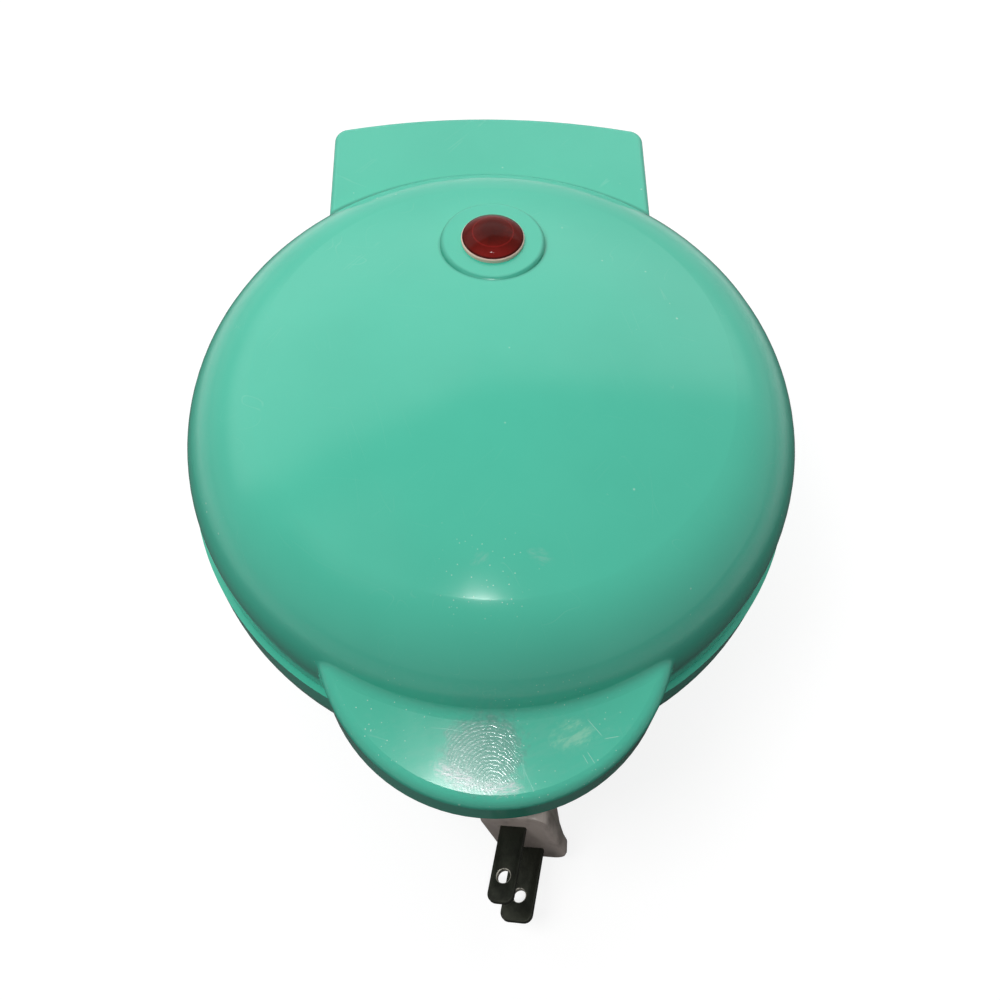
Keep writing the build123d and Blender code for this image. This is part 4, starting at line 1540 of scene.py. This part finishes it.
@dataclass
class Plug:
    """Two-blade plug with a flared face and a ringed strain relief."""

    face: Point = PLUG_FACE
    axis: Point = PLUG_AXIS
    side: Point = PLUG_SIDE
    width: float = 17.0 * MM
    height: float = 24.0 * MM
    corner: float = 3.6 * MM
    shift: float = 0.6 * MM
    length: float = 18.0 * MM
    relief_length: float = 20.0 * MM
    relief_radius: float = 4.6 * MM
    core_radius: float = 3.7 * MM
    core_tip_radius: float = 3.0 * MM
    rings: int = 7
    ring_pitch: float = 2.75 * MM
    ring_half: float = 0.75 * MM
    ring_shrink: float = 0.042
    ring_sink: float = 0.5 * MM
    ring_edge: float = 0.3 * MM
    blade_spacing: float = BLADE_SPACING
    narrow_width: float = 6.35 * MM
    wide_width: float = 7.9 * MM
    blade_root: float = 5.9 * MM
    blade_length: float = 18.0 * MM
    blade_thickness: float = 1.5 * MM
    blade_tip: float = 1.8 * MM
    blade_edge: float = 0.28 * MM
    hole_radius: float = BLADE_HOLE_RADIUS
    hole_place: float = BLADE_HOLE_PLACE

    def frame(self) -> Matrix:
        """Place of the plug: its width along X, its height along Y and its blades along Z."""
        along = Vector(self.axis)
        across = Vector(self.side)
        turn = Matrix((across, along.cross(across), along)).transposed()
        return Matrix.Translation(self.face) @ turn.to_4x4()

    def moulding(self) -> bpy.types.Object:
        """Loft the body from its face back to the neck and the relief's core."""
        wide, high, corner, shift = self.width, self.height, self.corner, self.shift
        neck, tip = 2 * self.core_radius, 2 * self.core_tip_radius
        # Depth behind the face, width, height, corner radius and shift
        waist = (
            (0.0, wide - 1.5 * MM, high - 1.5 * MM, corner - 0.6 * MM, shift),
            (0.25 * MM, wide - 0.5 * MM, high - 0.5 * MM, corner - 0.2 * MM, shift),
            (0.9 * MM, wide, high, corner, shift),
            (3.6 * MM, wide - 0.4 * MM, high - 0.6 * MM, corner, shift * 0.9),
            (4.6 * MM, wide - 1.8 * MM, high - 2.4 * MM, corner, shift * 0.8),
            (7.0 * MM, 13.4 * MM, 19.0 * MM, 4.0 * MM, shift * 0.6),
            (10.5 * MM, 11.8 * MM, 16.4 * MM, 4.2 * MM, shift * 0.4),
            (15.0 * MM, 10.3 * MM, 13.8 * MM, 4.4 * MM, shift * 0.2),
            (self.length - 0.8 * MM, 9.6 * MM, 12.6 * MM, 4.4 * MM, 0.0),
            (self.length, 8.4 * MM, 10.6 * MM, 4.0 * MM, 0.0),
            (self.length + 0.3 * MM, neck, neck, neck / 2, 0.0),
            (self.length + self.relief_length, tip, tip, tip / 2, 0.0),
        )
        shape = bmesh.new()
        rows = [
            [
                shape.verts.new((x - shift, y, -depth))
                for x, y in rounded_rectangle(width, height, corner - 0.01 * MM)
            ]
            for depth, width, height, corner, shift in waist
        ]
        for near, far in zip(rows, rows[1:]):
            for index in range(len(near)):
                after = (index + 1) % len(near)
                shape.faces.new((near[index], far[index], far[after], near[after]))
        shape.faces.new(rows[0])
        shape.faces.new(rows[-1][::-1])
        bmesh.ops.recalc_face_normals(shape, faces=shape.faces)
        return settle("moulding", shape)

    def relief(self, material: bpy.types.Material) -> bpy.types.Object:
        """Set shrinking rings along the relief's core.

        Args:
            material: Material of the rings.

        Returns:
            All the rings.
        """
        layout = Layout("relief_rings", {
            "Rings": self.rings,
            "Pitch": self.ring_pitch,
            "First": self.length + self.ring_pitch / 2,
            "Shrink": self.ring_shrink,
        })
        size = layout.size
        row = layout.node(
            "GeometryNodeMeshLine",
            {"mode": "OFFSET"},
            {"Count": size["Rings"], "Start Location": layout.vector(z=0 - size["First"]),
             "Offset": layout.vector(z=0 - size["Pitch"])},
        )
        scale = 1 - layout.node("GeometryNodeInputIndex", {}, {}) * size["Shrink"]
        rings = layout.repeated(row, layout.shape, scale=layout.vector(scale, scale, 1.0))
        inner, outer, half = self.core_radius - self.ring_sink, self.relief_radius, self.ring_half
        blunt = outer - self.ring_edge
        section = [(inner, -half), (blunt, -half), (outer, self.ring_edge - half)]
        section += [(outer, half - self.ring_edge), (blunt, half), (inner, half)]
        return layout.bake(lathe(section, 32), rings, material)

    def blade(self, name: str, place: float, width: float) -> bpy.types.Object:
        """Cut a blade with a round tip, a hole and eased edges.

        Args:
            name: Name of the blade.
            place: Where it stands along the plug's height.
            width: Its width.

        Returns:
            The blade.
        """
        half, tip = width / 2 - self.blade_edge, self.blade_tip
        root, end = -self.blade_root + self.blade_edge, self.blade_length - self.blade_edge
        outline = [(-half, root), (half, root)]
        outline += arc((half - tip, end - tip), tip, 0, 90, 6)
        outline += arc((tip - half, end - tip), tip, 90, 180, 6)
        hole = arc((0, self.hole_place), self.hole_radius + self.blade_edge, 360, 0, 32)[:-1]
        curve = bpy.data.curves.new(name, "CURVE")
        curve.dimensions = "2D"
        curve.fill_mode = "BOTH"
        curve.extrude = self.blade_thickness / 2 - self.blade_edge
        curve.bevel_depth = self.blade_edge
        curve.bevel_resolution = 2
        for points in (outline, hole):
            spline = curve.splines.new("POLY")
            spline.points.add(len(points) - 1)
            spline.use_cyclic_u = True
            for target, (x, y) in zip(spline.points, points):
                target.co = (x, y, 0.0, 1.0)
        flat = put(name, curve)
        mesh = bpy.data.meshes.new_from_object(flat.evaluated_get(bpy.context.evaluated_depsgraph_get()))
        bpy.data.objects.remove(flat)
        shape = bmesh.new()
        shape.from_mesh(mesh)
        bmesh.ops.remove_doubles(shape, verts=shape.verts, dist=2 * WELD)
        stand = Matrix.Translation((0, place, 0)) @ Matrix.Rotation(math.radians(90), 4, "X")
        bmesh.ops.transform(shape, matrix=self.frame() @ stand, verts=shape.verts)
        bmesh.ops.recalc_face_normals(shape, faces=shape.faces)
        return settle(name, shape)

    def build(self, paint: Paintbox) -> list[bpy.types.Object]:
        """Make the moulding and both blades.

        Args:
            paint: The finishes.

        Returns:
            The pieces.
        """
        rings = self.relief(paint.material(Finish.plug_vinyl))
        body = merge("moulded_plug", [self.moulding(), rings], self.frame())
        # It lies on the floor and doesn't sink in
        for corner in body.data.vertices:
            corner.co.z = max(corner.co.z, 0.0)
        narrow = self.blade("narrow_blade", -self.blade_spacing / 2, self.narrow_width)
        wide = self.blade("wide_blade", self.blade_spacing / 2, self.wide_width)
        return [
            paint.finish_piece(body, Finish.plug_vinyl, "base", "plug_body"),
            paint.finish_piece(narrow, Finish.blade_metal, "base", "blade_narrow"),
            paint.finish_piece(wide, Finish.blade_metal, "base", "blade_wide"),
        ]


# Supply cord


@dataclass
class SupplyCord:
    """Cord wound in two layers round the hub, and its end that runs out to the plug."""

    radius: float = 2.6 * MM
    coil_radius: float = 29.5 * MM
    coil_step: float = 3.0 * MM
    coil_y: float = 2.0 * MM
    layer_low: float = 3.2 * MM
    layer_high: float = 9.2 * MM
    turns: int = 2
    points_a_half: int = 6
    length: float = 0.66
    tail: tuple[Point, ...] = (
        (29.5 * MM, -10.0 * MM, 3.2 * MM),
        (26.5 * MM, -20.0 * MM, 3.3 * MM),
        (20.5 * MM, -33.0 * MM, 3.1 * MM),
        (15.97 * MM, -44.99 * MM, 5.54 * MM),
        (14.32 * MM, -52.71 * MM, 6.82 * MM),
    )

    def exit(self) -> Point:
        """Point at the gland's tip where the cord comes out."""
        return (self.coil_radius, self.coil_y + 2 * self.radius, self.layer_high)

    def coil(self) -> list[Point]:
        """Control points of the coil, in on the upper layer and out on the lower one.

        Returns:
            The points, in order from the gland.
        """
        halves = range(2 * self.turns + 1)
        reaches = [self.coil_radius - 2 * self.coil_step * (half // 2) for half in halves]
        crossings = [(reach, self.layer_high) for reach in reaches]
        crossings += [(reach, self.layer_low) for reach in reaches[:0:-1]]
        step = math.pi / self.points_a_half
        points = []
        for half, ((near, near_z), (far, far_z)) in enumerate(zip(crossings, crossings[1:])):
            side = 1 if half % 2 == 0 else -1
            start = 0 if side == 1 else math.pi
            outside = (near + far) / 2 / math.cos(step / 2)
            for count in range(self.points_a_half):
                angle = start - step * (count + 0.5)
                share = (count + 0.5) / self.points_a_half
                points.append((
                    side * (near - far) / 2 + outside * math.cos(angle),
                    self.coil_y + outside * math.sin(angle),
                    near_z + (far_z - near_z) * share,
                ))
        return points

    def build(self, paint: Paintbox, far_pieces: list[bpy.types.Object]) -> bpy.types.Object:
        """Lay the cord.

        Args:
            paint: The finishes.
            far_pieces: The pieces at its far end; not used.

        Returns:
            The cord.
        """
        points = [self.exit(), *self.coil(), *self.tail]
        curve = bpy.data.curves.new("supply_cord", "CURVE")
        curve.dimensions = "3D"
        curve.resolution_u = 6
        curve.bevel_depth = self.radius
        curve.bevel_resolution = 5
        curve.use_fill_caps = True
        spline = curve.splines.new("NURBS")
        spline.points.add(len(points) - 1)
        for target, point in zip(spline.points, points):
            target.co = (*point, 1.0)
        spline.order_u = 3
        spline.use_endpoint_u = True
        cord = put("supply_cord", curve)
        paint.finish_piece(cord, Finish.cord_vinyl, "base", "cord_coil", "cord_tail")
        return cord


# CAD nodes that keep their shape


NODE_FINISHES: dict[str, Finish] = {
    "lid_shell": Finish.lid_plastic,
    "base_shell": Finish.base_plastic,
    "bottom_cover": Finish.cover_plastic,
    "hinge_pin_left": Finish.pin_steel,
    "hinge_pin_right": Finish.pin_steel,
    "lower_element": Finish.element_sheath,
    "upper_element": Finish.element_sheath,
    "lower_heat_shield": Finish.shield_sheet,
    "upper_heat_shield": Finish.shield_sheet,
    "thermostat": Finish.thermostat_body,
    "thermal_fuse": Finish.fuse_case,
    "terminal_block": Finish.terminal_plastic,
    "live_wire": Finish.wire_sleeve,
    "neutral_wire": Finish.wire_sleeve,
    "base_harness": Finish.wire_sleeve,
    "lid_harness": Finish.wire_sleeve,
    "inner_cord": Finish.cord_vinyl,
    "cord_gland": Finish.cord_vinyl,
    "indicator_lens": Finish.red_lens,
    "indicator_lamp": Finish.lamp_glass,
    "lamp_holder": Finish.holder_rubber,
}


# Studio


@dataclass(frozen=True)
class Lamp:
    """Softbox that faces the object, in metres and watts."""

    place: Point
    size: tuple[float, float]
    power: float
    mirrored: bool

    def hang(self, name: str) -> None:
        """Hang it in the scene.

        Args:
            name: Name of the lamp.
        """
        data = bpy.data.lights.new(name, "AREA")
        data.shape = "RECTANGLE"
        data.size, data.size_y = self.size
        data.energy = self.power
        lamp = put(name, data)
        lamp.location = self.place
        way = Vector(LAMP_TARGET) - Vector(self.place)
        lamp.rotation_euler = way.to_track_quat("-Z", "Y").to_euler()
        lamp.visible_glossy = self.mirrored
        lamp.visible_camera = False


LAMP_TARGET: Point = (0, 0, 0.05)
LAMPS: dict[str, Lamp] = {
    "back_softbox": Lamp((-0.05, 1.02, 0.85), (2.7, 1.15), power=12.0, mirrored=False),
    "left_softbox": Lamp((-0.48, -0.14, 1.0), (0.5, 0.5), power=4.4, mirrored=False),
    "strip_light": Lamp((-0.09, -0.723, 3.0), (0.80, 0.085), power=3.0, mirrored=True),
    "bulb_light": Lamp((-0.09, -0.723, 3.005), (0.26, 0.08), power=24.0, mirrored=True),
}


@dataclass
class Studio:
    """Camera, floor, sky and lamps round the object."""

    place: Point = (-5.248 * MM, -138.049 * MM, 286.522 * MM)
    right: Point = (0.99965, -0.015331, 0.021547)
    up: Point = (0.003794, 0.88951, 0.456901)
    forward: Point = (0.026171, 0.456659, -0.889257)
    lens: float = 39.6
    floor_size: float = 3.0
    floor_white: Colour = (0.95, 0.95, 0.95)
    floor_glow: float = 1.12
    floor_glow_share: float = 0.7
    # Painted shadow near the object, seen by gloss and glass
    floor_painted_shadow: Colour = (0.10, 0.10, 0.10)
    painted_shadow_from: float = 0.14
    painted_shadow_to: float = 0.26
    floor_dark: Colour = (0.16, 0.16, 0.16)
    dim: float = 0.07
    bright: float = 0.36
    window: float = 1.5

    def add_camera(self) -> None:
        """Set up the camera where the photograph was taken from."""
        data = bpy.data.cameras.new("camera")
        data.lens = self.lens
        data.sensor_width = 36.0
        data.clip_start = 0.01
        camera = put("camera", data)
        turn = Matrix((self.right, self.up, [-part for part in self.forward])).transposed()
        camera.matrix_world = Matrix.Translation(self.place) @ turn.to_4x4()
        bpy.context.scene.camera = camera

    def add_floor(self) -> None:
        """Lay a floor that is white to the eye, keeps a faint shadow and throws little light back.

        Gloss and glass see it with a painted shadow near the object.
        """
        mesh = bpy.data.meshes.new("floor")
        half = self.floor_size / 2
        corners = [(-half, -half, 0), (half, -half, 0), (half, half, 0), (-half, half, 0)]
        mesh.from_pydata(corners, [], [(0, 1, 2, 3)])
        floor = put("floor", mesh)
        graph = Graph("floor")
        plain = graph.node("ShaderNodeEmission", {}, {"Strength": self.floor_glow})
        shown = graph.mixed(self.floor_glow_share, graph.diffuse(self.floor_white), plain)
        # Painted shadow: gloss and glass see the floor darker near the object
        away = graph.between(graph.length(graph.place()), self.painted_shadow_from, self.painted_shadow_to)
        shadowed_floor = graph.diffuse(graph.blend(away, self.floor_painted_shadow, self.floor_white))
        unseen = graph.mixed(graph.mirrored(), graph.diffuse(self.floor_dark), shadowed_floor)
        graph.node_output(graph.mixed(graph.ray("Camera"), unseen, shown))
        mesh.materials.append(graph.material)

    def add_sky(self) -> None:
        """Surround the scene with light that is stronger low down at the back.

        The eye and gloss see it white, and gloss sees a brighter window at the back.
        """
        world = bpy.data.worlds.new("studio")
        bpy.context.scene.world = world
        world.use_nodes = True
        world.node_tree.nodes.clear()
        network = Network(world.node_tree)
        way = network.node("ShaderNodeTexCoord", {}, {}, "Generated")
        sideways, back, up = (network.axis(way, name) for name in "XYZ")
        low = network.fade(up + sideways * 0.12, 0.76, 0.93)
        glow = low * network.between(back, -0.25, 0.3) * (self.bright - self.dim) + self.dim
        seen = network.maths("MAXIMUM", network.ray("Camera"), network.mirrored())
        leftward = network.maths("MAXIMUM", -sideways, 0.0)
        window = network.between(back + leftward * 0.45, 0.42, 0.56) * network.between(up, 0.2, 0.5)
        strength = network.maths("MAXIMUM", glow, seen * (window * self.window + 1))
        sky = network.node("ShaderNodeBackground", {}, {"Color": (1, 1, 1, 1), "Strength": strength})
        target = network.tree.nodes.new("ShaderNodeOutputWorld")
        network.tree.links.new(sky.socket, target.inputs["Surface"])

    def build(self) -> None:
        """Set up the whole studio."""
        self.add_camera()
        self.add_floor()
        self.add_sky()
        for name, lamp in LAMPS.items():
            lamp.hang(name)
        bpy.context.scene.view_settings.view_transform = "Standard"


def main() -> None:
    """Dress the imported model."""
    logging.basicConfig(level=logging.INFO)
    for item in list(bpy.data.objects):
        bpy.data.objects.remove(item)
    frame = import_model()
    paint = Paintbox()
    for name, finish in NODE_FINISHES.items():
        paint.dress(frame["nodes"][name], finish)
        log.info("%s dressed", name)
    Studio().build()
    plates = WafflePlates()
    plates.build(paint)
    lower_face, upper_face = plates.face, 2 * plates.parting_height - plates.face
    for screws in (
        ScrewSet("plate_screws_lower", "lower_plate_screws", "base", face=lower_face, facing=1),
        ScrewSet("plate_screws_upper", "upper_plate_screws", "lid", face=upper_face, facing=-1),
        ScrewSet(
            "cover_screw_set", "cover_screws", "base", face=2.7 * MM, facing=-1,
            circle=49.0 * MM, count=4, start=0.0, domed=True,
        ),
    ):
        screws.build(paint)
    Feet().build(paint)
    far_pieces = Plug().build(paint)
    SupplyCord().build(paint, far_pieces)


if __name__ == "__main__":
    main()
